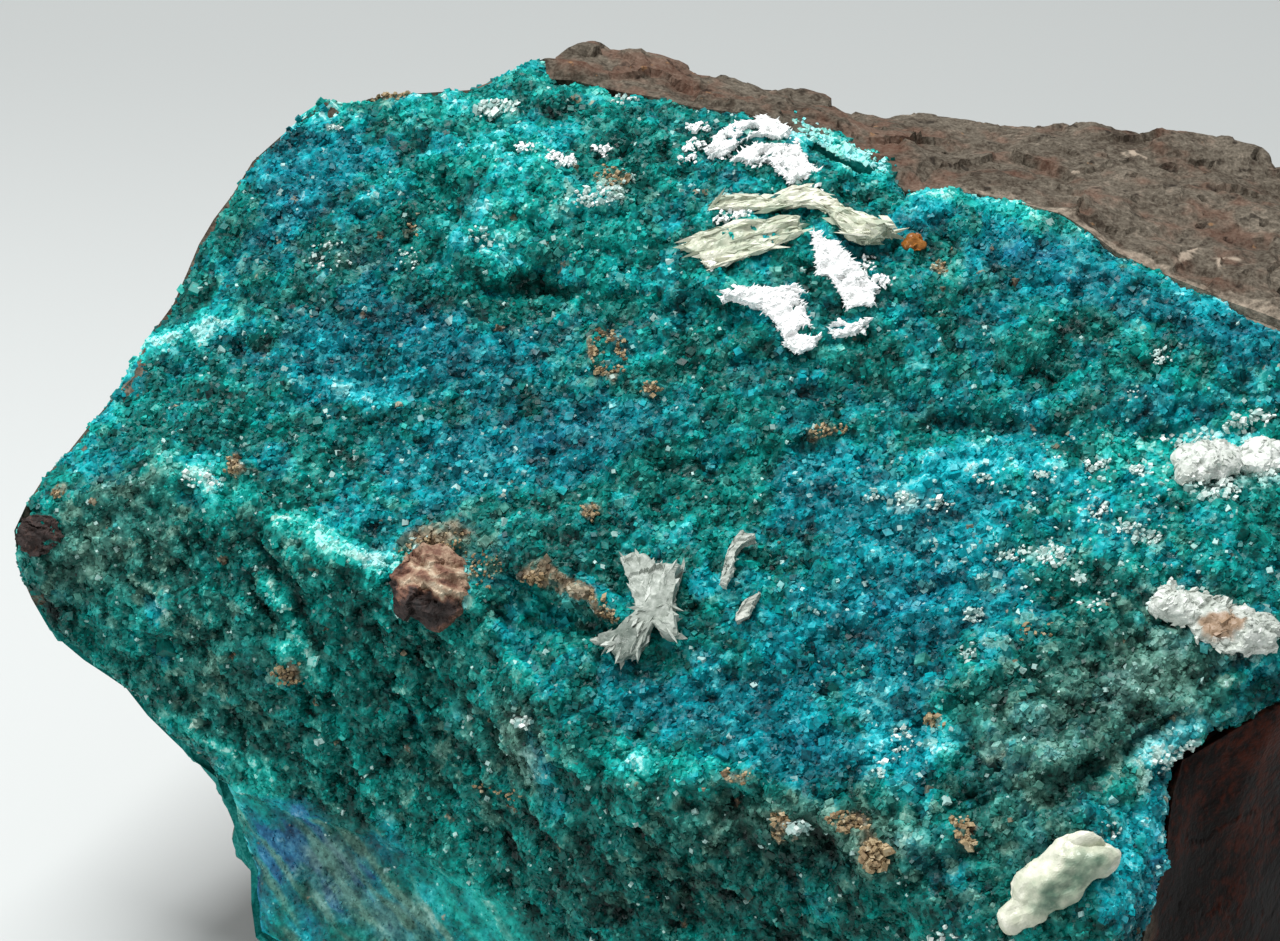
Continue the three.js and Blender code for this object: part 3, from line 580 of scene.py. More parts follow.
def colour_fields(points, crest, jitter=np.zeros((1, 3))):
    """What the crust's finish reads at points. tones: share of blue, lightness, share of grey. spots: rust,
    pale, painted shade in hollows. Soft patches are put where the photograph shows them, noise adds streaks
    along the stone's grain, crests get painted light and hollows painted shade, and jitter has three random
    numbers a point, for crystals."""
    seen = pictured(points)
    front = below(RIDGE, seen)
    smooth = below(LEDGE, seen)
    streaks = layered(striped(points, UPPER_GRAIN, 3.5), 2.6, 3, 3)
    fibres = layered(striped(points, FRONT_GRAIN, 5), 1.8, 3, 23)
    slanted = layered(striped(points, SMOOTH_GRAIN, 6), 1.7, 3, 43)
    lines = streaks * (1 - front) + fibres * front * (1 - smooth) + 1.6 * slanted * smooth
    veins = layered(striped(points, SMOOTH_GRAIN, 8), 1.3, 3, 47) * smooth
    _, clump, _ = cells(warped(points, 1.0, 63), 1.0, 61)
    _, patch, _ = cells(warped(points, 2.3, 67), 2.3, 65)
    crest = crest * (1 - 0.6 * smooth)
    royal = patches(ROYAL, seen, points, 83)
    blue = 0.36 + 0.2 * layered(points, 7, 3, 7) + 0.14 * lines + patches(BLUE, seen, points, 71)
    blue += 0.8 * royal + 0.5 * (patch - 0.5) * (1 - 0.6 * smooth) - 0.26 * front * (1 - smooth)
    blue += 0.07 * jitter[:, 0] - 0.3 * veins
    royal = royal * (0.7 + 1.1 * lines - 0.8 * veins)
    light = 0.41 + 0.08 * layered(points, 5, 3, 9) + 0.12 * lines + 0.3 * (clump - 0.5) * (1 - 0.5 * smooth)
    # Painted light: points high among their neighbours, and along the crests listed, are made lighter
    light += 0.12 * (patch - 0.5) + 0.085 * crest + crests(seen, points)[1]
    # Painted shade: the front below the ridge is made darker, as it faces away from the light
    light += patches(LIGHT, seen, points, 73) - 0.085 * front * (1 - smooth) + 0.05 * smooth
    light += 0.055 * jitter[:, 1] + 0.14 * veins
    # Painted shade: the hollows listed, and the points lowest among the crests, are darkened
    hollow_shade = patches(SHADED_HOLLOWS, seen, points, 75) + 0.5 * ramp(-crest, 0.9, 2.4)
    grey = patches(GREY, seen, points, 77) + 0.05 * front + 0.14 * layered(points, 3.1, 3, 13)
    grey += 0.5 * ramp(clump, 0.75, 0.95) * (1 - smooth) + 0.6 * ramp(veins, 0.0, 0.7) - 0.15
    grey += 0.05 * jitter[:, 2]
    rust = patches(RUST, seen, points, 79) + 0.7 * ramp(layered(points, 1.7, 3, 15), 0.8, 1.0)
    pale = 0.45 * ramp(layered(points, 1.3, 3, 19) + 0.1 * streaks, 0.7, 1.0)
    pale += patches(PALE, seen, points, 97) * (0.4 + 0.9 * clump)
    blue = BLUE_SHARE * np.clip(blue, 0, 1) + (1 - BLUE_SHARE) * np.clip(royal, 0, 1)
    tones = np.clip(np.stack([blue, light, grey], 1), 0, 1)
    spots = np.clip(np.stack([rust, pale, hollow_shade], 1), 0, 1)
    return tones, spots


# Finishes

def srgb(text):
    """A linear colour from its usual six hex digits."""
    parts = [int(text[k:k + 2], 16) / 255 for k in (0, 2, 4)]
    return tuple(p / 12.92 if p <= 0.04045 else ((p + 0.055) / 1.055) ** 2.4 for p in parts) + (1.0,)


class Socket:
    """A node's output. Arithmetic on it adds Math nodes."""

    def __init__(self, look, socket):
        self.look = look
        self.socket = socket

    def math(self, operation, first, second):
        """A Math node on two values or links."""
        return self.look.node("ShaderNodeMath", {"operation": operation}, {0: first, 1: second})

    def __add__(self, other):
        return self.math("ADD", self, other)

    def __radd__(self, other):
        return self.math("ADD", other, self)

    def __sub__(self, other):
        return self.math("SUBTRACT", self, other)

    def __rsub__(self, other):
        return self.math("SUBTRACT", other, self)

    def __mul__(self, other):
        return self.math("MULTIPLY", self, other)

    def __rmul__(self, other):
        return self.math("MULTIPLY", other, self)


class Look:
    """A material and its nodes."""

    def __init__(self, name):
        self.material = bpy.data.materials.new(name)
        self.material.use_nodes = True
        self.tree = self.material.node_tree
        self.tree.nodes.clear()

    def node(self, kind, settings=None, sockets=None, output=0):
        """Adds a node of a type, with its settings and then the values or links of its sockets."""
        node = self.tree.nodes.new(kind)
        for key, value in (settings or {}).items():
            if key == "stops":
                ramp_stops = node.color_ramp.elements
                while len(ramp_stops) < len(value):
                    ramp_stops.new(0.5)
                for stop, (place, colour) in zip(ramp_stops, value):
                    stop.position = place
                    stop.color = colour
            else:
                setattr(node, key, value)
        for key, value in (sockets or {}).items():
            if isinstance(value, Socket):
                self.tree.links.new(value.socket, node.inputs[key])
            else:
                node.inputs[key].default_value = value
        return Socket(self, node.outputs[output])

    def place(self):
        """Object coordinates in millimetres."""
        found = self.node("ShaderNodeTexCoord", output=3)
        return self.node("ShaderNodeVectorMath", {"operation": "SCALE"}, {0: found, "Scale": 1 / MM})

    def attribute(self, name):
        """The three numbers of a colour attribute."""
        vector = self.node("ShaderNodeAttribute", {"attribute_name": name}, output=1)
        split = self.node("ShaderNodeSeparateXYZ", sockets={0: vector}).socket.node
        return [Socket(self, split.outputs[k]) for k in range(3)]

    def noise(self, place, wavelength, detail=2.0, roughness=0.5):
        """Noise about 0.5 with that wavelength in millimetres."""
        return self.node("ShaderNodeTexNoise", {}, {
            "Vector": place, "Scale": 1 / wavelength, "Detail": detail, "Roughness": roughness})

    def step(self, value, low, high, to=1.0):
        """A smooth step of a value between two limits, from 0 to a number."""
        return self.node("ShaderNodeMapRange", {"interpolation_type": "SMOOTHSTEP"}, {
            0: value, 1: low, 2: high, 3: 0.0, 4: to})

    def ramp(self, value, stops):
        """A ramp of colours, each with its place between 0 and 1."""
        return self.node("ShaderNodeValToRGB", {"stops": [(p, srgb(c)) for p, c in stops]}, {0: value})

    def mix(self, factor, first, second):
        """A mix of two colours."""
        return self.node("ShaderNodeMix", {"data_type": "RGBA"}, {0: factor, 6: first, 7: second}, output=2)

    def over(self, colour, other, value, low, high, share=1.0):
        """A colour with a share of another laid over it where a value rises from low to high."""
        return self.mix(self.step(value, low, high, share), colour, other)

    def finish(self, colour, roughness, height=None, depth=0.1, **uniform):
        """The shader, its bump from a height in millimetres, and the material's output."""
        sockets = {"Base Color": colour, "Roughness": roughness}
        sockets.update({key.replace("_", " "): value for key, value in uniform.items()})
        if height is not None:
            sockets["Normal"] = self.node("ShaderNodeBump", {}, {
                "Strength": 1.0, "Distance": depth * MM, "Height": height})
        shader = self.node("ShaderNodeBsdfPrincipled", {}, sockets)
        output = self.tree.nodes.new("ShaderNodeOutputMaterial")
        self.tree.links.new(shader.socket, output.inputs["Surface"])
        return self.material


# Colours from dark to light, and their places on the ramps of the crust's lightness
CRUST_PLACES = (0.0, 0.25, 0.5, 0.72, 0.9, 1.0)
CRUST_GREEN = ("001816", "00443e", "007068", "04a297", "36c4b8", "a8eae0")
CRUST_AZURE = ("001a20", "004650", "00737e", "04a3ae", "4ccad2", "b8edf0")
CRUST_ROYAL = ("06162a", "0c3454", "185d88", "3f8cb6", "97bfd9", "d6e6f0")
STONY = [(0.0, "101d18"), (0.35, "344f43"), (0.65, "6f8d7c"), (1.0, "c3d2c2")]
RUSTY = [(0.2, "2a1d15"), (0.42, "5c4733"), (0.6, "93816a"), (0.85, "cfc4aa")]
ROCK = [(0.25, "211b18"), (0.42, "433b32"), (0.55, "655e53"), (0.68, "8b8072"), (0.85, "c0b6a6")]
TEAL = [(0.3, "03302d"), (0.5, "0c706a"), (0.7, "45a8a2"), (0.85, "a6d4cc")]


def crust_look(name, sharpness):
    """Green to blue crystals: ramps of lightness for green, azure and royal blue, mixed by the share of
    blue, then grey, rust and pale parts over them, the pale ones partly painted glints on the crystals, and
    near-black painted shade in hollows."""
    look = Look(name)
    place = look.place()
    blue, light, grey = look.attribute("tones")
    rust, pale, hollow_shade = look.attribute("spots")
    fine = look.noise(place, 0.45, 3.0, 0.6)
    medium = look.noise(place, 1.4, 2.0)
    tone = light + (fine - 0.5) * 0.7 + (medium - 0.5) * 0.25
    green, azure, royal = (look.ramp(tone, list(zip(CRUST_PLACES, colours)))
                           for colours in (CRUST_GREEN, CRUST_AZURE, CRUST_ROYAL))
    stony = look.ramp(tone, STONY)
    rusty = look.ramp(look.noise(place, 0.6, 3.0) * 0.7 + tone * 0.4, RUSTY)
    colour = look.over(green, azure, blue + (medium - 0.5) * 0.25, 0.15, 0.52)
    colour = look.over(colour, royal, blue + (medium - 0.5) * 0.2, 0.62, 0.9, 0.9)
    colour = look.over(colour, stony, grey + (fine - 0.5) * 0.5, 0.1, 0.9, 0.7)
    colour = look.over(colour, rusty, rust + (fine - 0.5) * 0.35, 0.3, 0.8, 0.9)
    colour = look.over(colour, srgb("c2e4de"), pale + (fine - 0.5) * 0.4, 0.25, 0.95, 0.75)
    # Painted shade in hollows: near-black laid over them
    colour = look.over(colour, srgb("010c0b"), hollow_shade, 0.05, 1.0, 0.85)
    return look.finish(colour, 0.28 + fine * 0.25, fine, 0.12 * sharpness, Specular_IOR_Level=0.2)


def rock_look():
    """Brown to grey iron-rich rock: clouds of brown and grey, reddish and ochre spots, pits darkened with
    painted shade, pale veins, a dark iron skin on the smooth faces at the lower right deepened with painted
    shadow, and the crust's colour where it runs on."""
    look = Look("matrix")
    place = look.place()
    iron_skin_and_shadow, glow, pit_shade = look.attribute("spots")
    spill, vein, _ = look.attribute("tones")
    broad = look.noise(place, 9.0, 4.0, 0.6)
    fine = look.noise(place, 0.8, 4.0, 0.65)
    grit = look.noise(place, 0.28, 2.0)
    tone = broad * 0.35 + fine * 0.45 + grit * 0.3 - 0.05
    colour = look.ramp(tone, ROCK)
    reddish = look.noise(place, 3.2, 3.0, 0.6) + glow * 0.35
    colour = look.over(colour, srgb("6b4334"), reddish, 0.62, 0.86, 0.42)
    ochre = look.noise(place, 1.5, 3.0, 0.6) + glow * 0.1
    colour = look.over(colour, srgb("9a7450"), ochre, 0.74, 0.82, 0.6)
    dark = 1 - look.noise(place, 1.3, 3.0)
    colour = look.over(colour, srgb("120d0b"), dark, 0.6, 0.72, 0.7)
    colour = look.over(colour, srgb("b8a896"), vein + (fine - 0.5) * 0.8, 0.4, 0.9, 0.7)
    # The dark face at the lower right: its own dark iron colour, made darker still with painted shadow as
    # it turns away from the light
    iron = look.over(srgb("080302"), srgb("44190a"), fine + (broad - 0.5) * 0.8, 0.4, 0.8)
    colour = look.mix(iron_skin_and_shadow, colour, iron)
    # Painted shade in the pits: they are darkened to near-black
    colour = look.over(colour, srgb("15100e"), pit_shade, 0.2, 1.0, 0.8)
    colour = look.over(colour, look.ramp(tone, TEAL), spill + (fine - 0.5) * 0.8, 0.4, 0.6)
    rough = 0.66 + 0.2 * (fine - iron_skin_and_shadow)
    return look.finish(colour, rough, fine * 0.7 + grit * 0.3, 0.22, Specular_IOR_Level=0.08)


def calcite_look(name, stops, roughness, wavelength=0.5, depth=0.12, **uniform):
    """Pale calcite: a ramp of colours by shade and fine noise, tan where the tones say so."""
    look = Look(name)
    place = look.place()
    shade, tan, _ = look.attribute("tones")
    fine = look.noise(place, wavelength, 3.0, 0.6)
    colour = look.ramp(fine * 0.6 + shade * 0.6 - 0.1, stops)
    colour = look.over(colour, srgb("8f6c4a"), tan + (fine - 0.5) * 0.4, 0.3, 0.9, 0.85)
    return look.finish(colour, roughness, fine, depth, **uniform)


def iron_look(name, stops, roughness, depth=0.2):
    """Iron oxide: a ramp of colours by shade and fine noise."""
    look = Look(name)
    place = look.place()
    shade, _, _ = look.attribute("tones")
    fine = look.noise(place, 0.5, 3.0, 0.65)
    colour = look.ramp(fine * 0.55 + shade * 0.6 - 0.1, stops)
    return look.finish(colour, roughness, fine, depth)


def floor_look():
    """Pale paper, a little darker further back: painted falloff of the light."""
    look = Look("floor_paper")
    place = look.place()
    grain = look.noise(place, 40.0, 2.0)
    away = look.node("ShaderNodeSeparateXYZ", sockets={0: place}, output=1)
    colour = look.over(srgb("c6c9c8"), srgb("adb0af"), away + grain, 10.0, 230.0)
    return look.finish(colour, 0.9)


# The stone

def crust_border(points, triangles, outer):
    """The points between the crust's outer side and the rest, and the way outwards along the skin there."""
    shared = np.intersect1d(triangles[outer], triangles[~outer])
    side = triangles[outer]
    inwards = unit(points[side].mean(1)[:, None] - points[side])
    return shared, -unit(added_up(side, inwards, len(points))[shared])


# Where the crust is lumpier
LUMPY = [
    (1050, 740, 150, 90, 20, 1.0), (880, 590, 120, 70, 20, 0.7), (1130, 560, 160, 60, 10, 0.6),
    (350, 680, 220, 130, -20, 1.0), (600, 830, 220, 90, 0, 1.0), (880, 850, 80, 60, 0, 1.0),
    (560, 200, 140, 80, 10, 0.8), (320, 170, 90, 60, 0, 0.4), (250, 380, 120, 60, 20, 0.5),
    (1100, 480, 160, 40, 0, 0.6), (820, 220, 120, 60, 0, 0.5),
]


def crust_relief(points):
    """How far the crust stands out of its plain shape, in millimetres, and how high a point lies among its
    neighbours, about -2 to 2: crests along the grain of each face, knobs and facets 1 to 3 mm wide, steps,
    and sunk hollows, which the colours darken with painted shade."""
    seen = pictured(points)
    front = below(RIDGE, seen, 14)
    smooth = below(LEDGE, seen)
    rough = 1 - 0.7 * smooth
    along = ridged(striped(points, UPPER_GRAIN, 3.0), 3.4, 3, 101) * (1 - front)
    fibres = ridged(striped(points, FRONT_GRAIN, 4.5), 2.4, 3, 111) * front * (1 - smooth)
    slanted = ridged(striped(points, SMOOTH_GRAIN, 5), 3.0, 2, 121) * smooth
    knob, _, facet = cells(warped(points, 1.3, 135), 1.3, 131)
    lump, _, slope = cells(warped(points, 2.7, 137), 2.7, 133)
    fine = 0.6 * (0.5 - knob) + 0.32 * facet
    lumps = (0.6 + np.clip(patches(LUMPY, seen, points, 85), 0, 1)) * (0.9 * (0.5 - lump) + 0.3 * slope)
    grain = 0.22 * along + 0.5 * fibres + 0.08 * slanted
    height = (fine + lumps) * rough + grain + 0.3 * layered(points, 5.0, 2, 141) * rough
    height += 0.3 * patches(LIGHT, seen, points, 73) - 1.1 * patches(SHADED_HOLLOWS, seen, points, 75)
    height += 0.4 * patches(RUST, seen, points, 79) + cliffs(seen, points) + crests(seen, points)[0]
    return height, np.clip((fine + 0.6 * lumps + grain - 0.1) / 0.25, -2, 2)


# Where the crust reaches further over the rock
LOBES = [
    (852, 168, 36, 28, -22, 1.9), (968, 190, 44, 16, -8, 0.6), (700, 112, 30, 12, -10, 0.3),
]


def build_crust(crust, rock, look):
    """The crust: its CAD solid refined and rounded, its outer side given relief, and its border spread over
    the rock's edge. Returns the outer side and its crests, for the crystals."""
    points, triangles = crust
    outer = ~facing(points, triangles, rock, CONTACT_REACH)
    for longest in (COARSE_CRUST_EDGE, CRUST_EDGE):
        points, triangles, edges = refined(points, triangles, np.where(outer, longest, HIDDEN_EDGE))
        outer = edges < HIDDEN_EDGE
        shared, outwards = crust_border(points, triangles, outer)
        weight = on(points, triangles[outer])
        weight[shared] = BORDER_FREEDOM
        points = relaxed(points, triangles, 0.5, 3, weight)
    normals = point_normals(points, triangles[outer])
    index, away = nearest(points, points[shared])
    edge = np.clip(1 - away / BORDER_REACH, 0, 1)[:, None]
    seen = pictured(points)
    # The border is calm beside the dark face, and hardly spread at the low left and at the top left corner
    calm = ramp(seen[:, 0], 1060, 1120) * ramp(seen[:, 1], 620, 700)
    low_left = ramp(seen[:, 0], 420, 300) * ramp(seen[:, 1], 600, 680)
    top_left = np.exp(-((seen - (316, 96)) ** 2).sum(1) / 40 ** 2)
    ragged = 0.4 * layered(points, 2.6, 3, 151) * (1 - 0.7 * calm) + patches(LOBES, seen, points, 95)
    kept_in = 1 - np.maximum(0.8 * low_left, top_left)
    shift = outwards[index] * (BORDER_PUSH + ragged[:, None]) * edge * kept_in[:, None]
    shift -= normals[shared][index] * BORDER_DIP * edge ** 2
    relief, crest = crust_relief(points)
    relief = relief * (1 - 0.8 * top_left)
    points = points + normals * relief[:, None] * weight * (1 - 0.65 * edge) + shift
    tones, spots = colour_fields(points, crest)
    # A pale rim, whitish along the top
    rim = ramp(edge[:, 0] + 0.25 * layered(points, 1.5, 2, 161), 0.72, 1.0)
    spots[:, 1] = np.clip(spots[:, 1] + 0.8 * rim * ramp(seen[:, 0], 500, 760), 0, 1)
    tones[:, 1] = np.clip(tones[:, 1] + 0.3 * rim, 0, 1)
    write_piece("dioptase_crust_skin", points, triangles, look, "dioptase",
                {"tones": tones, "spots": spots}, replaced=["dioptase_crust"])
    return points, triangles[outer], crest


def rock_relief(points):
    """The broken rock's relief: layered crests that run along the stone, small chips, and a few pits."""
    place = striped(points, ROCK_GRAIN, 2.6)
    height = 0.28 * ridged(place, 5.0, 4, 201) + 0.5 * layered(points, 7.0, 4, 211)
    for wavelength, seed in ((6.5, 221), (2.4, 223)):
        _, number, facet = cells(warped(points, wavelength, seed + 4), wavelength, seed)
        height += wavelength * (0.1 * facet + 0.03 * (number - 0.5))
    back = ramp(-measured(points)[:, 2], 33, 42) * ramp(points[:, 2], 68, 56)
    _, number, facet = cells(warped(points, 11, 227), 11, 225)
    height += back * (2.2 * facet + 1.2 * (number - 0.5) + 0.5 * ridged(points, 7, 3, 229))
    pits = ramp(layered(points, 2.2, 3, 231), 0.75, 1.05)
    return height - 0.8 * pits, pits


# Reddish, veined and darker parts of the rock, and where the crust's colour runs on over it
REDDISH = [(620, 62, 60, 22, 0, 0.5), (700, 85, 60, 20, -20, 0.4), (860, 130, 60, 18, -25, 0.4),
           (1250, 250, 50, 16, -20, 0.6), (1180, 1000, 80, 90, 0, 0.3)]
VEINS = [(1132, 157, 22, 3, -12, 1.0), (1080, 174, 9, 3, 0, 0.9), (1186, 256, 14, 5, 30, 1.0),
         (1222, 262, 22, 4, -12, 1.0), (1188, 146, 5, 8, 0, 0.5), (1128, 207, 5, 3, 0, 0.7),
         (1010, 158, 16, 2, 10, 0.5), (700, 66, 14, 3, -20, 0.5), (900, 142, 10, 3, -30, 0.6)]
DARK = [(1240, 246, 70, 26, -20, 0.5)]
SPILLS = [(850, 156, 46, 18, -25, 1.4)]


def build_rock(rock, crust, look):
    """The rock: its CAD solid refined and given a broken relief. What lies under the crust stays plain, the
    flat base stays flat, and smooth dark faces get little relief. Returns its open side."""
    points, triangles = rock
    plain = facing(points, triangles, crust, CONTACT_REACH)
    plain |= (points[triangles][:, :, 2] < BASE_HEIGHT).all(1)
    front = measured(points[triangles].mean(1))[:, 2] > BACK_START
    longest = np.where(plain, HIDDEN_EDGE, 2 * np.where(front, ROCK_EDGE, ROCK_BACK_EDGE))
    points, triangles, longest = refined(points, triangles, longest)
    rough = longest < HIDDEN_EDGE
    weight = on(points, triangles[rough]) * (1 - on(points, triangles[~rough]))
    points = relaxed(points, triangles, 0.5, 2, weight)
    points, triangles, longest = refined(points, triangles, np.where(rough, longest / 2, HIDDEN_EDGE))
    rough = longest < HIDDEN_EDGE
    normals = point_normals(points, triangles[rough])
    _, away = nearest(points, points[np.unique(triangles[~rough])])
    weight = on(points, triangles[rough]) * ramp(away, 0.0, ROCK_EASE_REACH)[:, None]
    points = relaxed(points, triangles, 0.5, 2, weight)
    place = measured(points)
    # Where the dark face at the lower right lies: its iron skin is deepened with painted shadow
    iron_skin_and_shadow = ramp(place[:, 0] - 0.35 * place[:, 2] + 2 * layered(points, 6, 2, 241), 31, 36)
    iron_skin_and_shadow *= ramp(-place[:, 1] + 1.5 * layered(points, 5, 2, 243), 15, 20)
    iron_skin_and_shadow *= ramp(place[:, 2] + 3 * layered(points, 7, 3, 245), -22, -10)
    iron_skin_and_shadow = np.clip(1.3 * iron_skin_and_shadow, 0, 1)
    relief, pits = rock_relief(points)
    points = points + normals * (relief * (1 - 0.85 * iron_skin_and_shadow))[:, None] * weight
    points[:, 2] = np.maximum(points[:, 2], 0)
    seen = pictured(points)
    glow = 0.35 + 0.4 * layered(points, 8, 2, 251) + patches(REDDISH, seen, points, 87)
    spill = ramp(away + layered(points, 2.5, 2, 261), 3.2, 0.8) * ramp(seen[:, 0], 420, 300)
    spill *= ramp(seen[:, 1], 560, 640) * ramp(points[:, 2], 4, 8)
    spill += ramp(away + layered(points, 1.5, 2, 263), 2.0, 1.0) * patches(SPILLS, seen, points, 103)
    rim = ramp(away + 0.5 * layered(points, 2.5, 3, 271), 1.5, 1.0) * ramp(seen[:, 0], 860, 1000)
    vein = patches(VEINS, seen, points, 89) + 0.6 * rim * ramp(seen[:, 1], 420, 360)
    # A patch at the lower right of the rock's top is darkened like the pits
    pits = pits + patches(DARK, seen, points, 99)
    write_piece("matrix_rock_body", points, triangles, look, "matrix", {
        "spots": np.clip(np.stack([iron_skin_and_shadow, glow, pits], 1), 0, 1),
        "tones": np.clip(np.stack([spill, vein, 0 * spill], 1), 0, 1)}, replaced=["matrix_rock"])
    return points, triangles[rough]


# Crystals

def crystals(centres, axes, radii, halves, flatness, rng):
    """Rhombohedra, the shape in which dioptase and calcite end: a tip, a zigzag ring of six and a lower tip
    each. Centres, unit axes, the ring's radii, the half lengths, and how thick they are across the ring's
    width; the turn round the axis is random."""
    count = len(centres)
    side = unit(np.cross(axes, rng.normal(size=(count, 3))))
    other = np.cross(axes, side) * flatness
    angles = np.arange(6) * math.pi / 3
    ring = np.cos(angles)[None, :, None] * side[:, None] + np.sin(angles)[None, :, None] * other[:, None]
    heights = np.array([1, -1] * 3) / 3
    ring = ring * radii[:, None, None] + heights[None, :, None] * (axes * halves[:, None])[:, None]
    tip = (axes * halves[:, None])[:, None]
    points = centres[:, None] + np.concatenate([tip, ring, -tip], 1)
    following = (np.arange(6) + 1) % 6
    fan = [(0, k + 1, following[k] + 1) for k in range(6)]
    fan += [(7, following[k] + 1, k + 1) for k in range(6)]
    triangles = np.arange(count)[:, None, None] * CRYSTAL_POINTS + np.array(fan)[None]
    return points.reshape(-1, 3), triangles.reshape(-1, 3)


def write_crystals(name, shapes, look, slot, **fields):
    """A piece of crystals, each with its own row of the fields all over."""
    write_piece(name, *shapes, look, slot, {
        field: np.repeat(values, CRYSTAL_POINTS, axis=0) for field, values in fields.items()})


def shade_tones(shade, tan=0.0):
    """The tones of pale and rusty pieces: shade, share of tan, and nothing."""
    return np.clip(np.stack([shade, 0 * shade + tan, 0 * shade], 1), 0, 1)


def scattered(points, triangles, density, count, rng):
    """Spots spread over triangles, as many as their area times density asks: places at even steps of the
    summed area, each at random in its triangle. Returns the spots and the triangles' numbers."""
    total = np.cumsum(np.linalg.norm(face_normals(points, triangles), axis=1) * density)
    steps = (np.arange(count) + rng.random(count)) / count * total[-1]
    chosen = np.minimum(np.searchsorted(total, steps), len(triangles) - 1)
    a, b = rng.random(count), rng.random(count)
    flip = a + b > 1
    a[flip], b[flip] = 1 - a[flip], 1 - b[flip]
    start, first, second = points[triangles[chosen]].transpose(1, 0, 2)
    return start + a[:, None] * (first - start) + b[:, None] * (second - start), chosen


def tilted(normals, amount, rng):
    """Unit axes about the normals, leaning at random."""
    return unit(normals + amount * rng.normal(size=normals.shape))


# Where more of the crystals get a painted glint, and where crystals of the crust sit on the rock's edge
PAINTED_GLINTS = [(1090, 480, 200, 50, 5, 1.0), (1060, 560, 160, 50, 10, 0.8), (560, 200, 80, 60, 0, 0.6),
           (760, 160, 90, 50, 0, 0.6), (900, 560, 90, 60, 10, 0.4), (350, 320, 90, 90, 0, 0.3),
           (380, 455, 170, 40, 5, 0.8)]
EDGE_LOBES = [(851, 160, 46, 12, -33, 1.0)]


def grain_sizes(count, rng, scale=1.0, length=1.0):
    """Radii and half lengths of stout crystals."""
    sizes = GRAIN_RADIUS * np.exp(rng.normal(0, GRAIN_SPREAD, count)) * scale
    return sizes, sizes * rng.uniform(0.8, 1.5, count) * length


def build_grains(skin, look):
    """The crust's small stout crystals, in several pieces from left to right: a little smaller on the
    front, fewer and flatter on the smooth face below the ledge. Those in the middle of a clump lie higher
    and get painted light as crests, those of one clump share a tone, and a few high ones are made pale as
    painted glints."""
    points, triangles, crest = skin
    rng = np.random.default_rng(SEED)
    density = 1 - 0.55 * below(LEDGE, pictured(points[triangles].mean(1)))
    spots, chosen = scattered(points, triangles, density, GRAIN_COUNT, rng)
    normal = unit(point_normals(points, triangles)[triangles[chosen]].mean(1))
    seen = pictured(spots)
    flat = below(LEDGE, seen)
    near, number, _ = cells(spots, CLUMP_SIZE, 171)
    scale = 1 - 0.1 * below(RIDGE, seen) - 0.25 * flat
    sizes, halves = grain_sizes(GRAIN_COUNT, rng, scale, 1 - 0.3 * flat)
    axes = tilted(normal, GRAIN_TILT, rng)
    jitter = rng.normal(size=(GRAIN_COUNT, 3)) + 2.2 * (number - 0.5)[:, None] * np.array([-1, 1, 1])
    # Clump middles count as high crests, which gives them painted light
    height = crest[triangles[chosen]].mean(1) + 2.2 * (0.45 - near)
    tones, fields = colour_fields(spots, np.clip(height, -2.4, 2.0), jitter)
    # Painted glints: a few crystals high on the crests take the pale colour
    glint_share = (0.03 + 0.1 * patches(PAINTED_GLINTS, seen, spots, 81)) * ramp(height, -0.6, 0.6)
    painted_glint = rng.random(GRAIN_COUNT) < glint_share
    fields[:, 1] = np.where(painted_glint, rng.uniform(0.4, 1.0, GRAIN_COUNT), fields[:, 1] * 0.8)
    lift = 0.25 * (0.5 - near) * (1 - 0.7 * flat) - 0.25 * halves
    centres = spots + normal * lift[:, None]
    for k, part in enumerate(np.array_split(np.argsort(seen[:, 0]), GRAIN_PIECES)):
        shapes = crystals(centres[part], axes[part], sizes[part], halves[part], 1.0, rng)
        write_crystals(f"crust_grains_{k + 1}", shapes, look, "dioptase", tones=tones[part],
                       spots=fields[part])


def build_edge_grains(stone, look):
    """Crystals of the crust on the rock's edge, where its colour runs on over it."""
    points, triangles = stone
    rng = np.random.default_rng(SEED + 2)
    middles = points[triangles].mean(1)
    normals = face_normals(points, triangles)
    density = patches(EDGE_LOBES, pictured(middles), middles, 105) * (normals @ OUT > 0)
    spots, chosen = scattered(points, triangles, density, EDGE_GRAIN_COUNT, rng)
    sizes, halves = grain_sizes(EDGE_GRAIN_COUNT, rng)
    jitter = rng.normal(size=(EDGE_GRAIN_COUNT, 3))
    tones, fields = colour_fields(spots, np.full(EDGE_GRAIN_COUNT, 0.8), jitter)
    axes = tilted(unit(normals[chosen]), GRAIN_TILT, rng)
    shapes = crystals(spots, axes, sizes, halves, 1.0, rng)
    write_crystals("crust_grains_edge", shapes, look, "dioptase", tones=tones, spots=fields)


# What grows on the crust

# Where the pieces are thinner than their plain shapes, or thicker, below 0
CARVED = [(1022, 846, 26, 16, 40, 1.0), (1122, 900, 12, 24, 0, 0.7), (392, 556, 14, 12, 0, 0.7),
          (1215, 590, 30, 8, -20, 0.5), (800, 262, 10, 20, 0, 0.6), (1100, 836, 30, 14, 20, 0.4),
          (1206, 488, 28, 12, 0, -0.45), (1264, 474, 22, 12, 0, -0.6), (998, 916, 18, 18, 0, -0.45)]
# Which way chalk sinks where it is ragged, in the measuring frame
SINK_WAY = (-0.15, 0.4, 0.9)


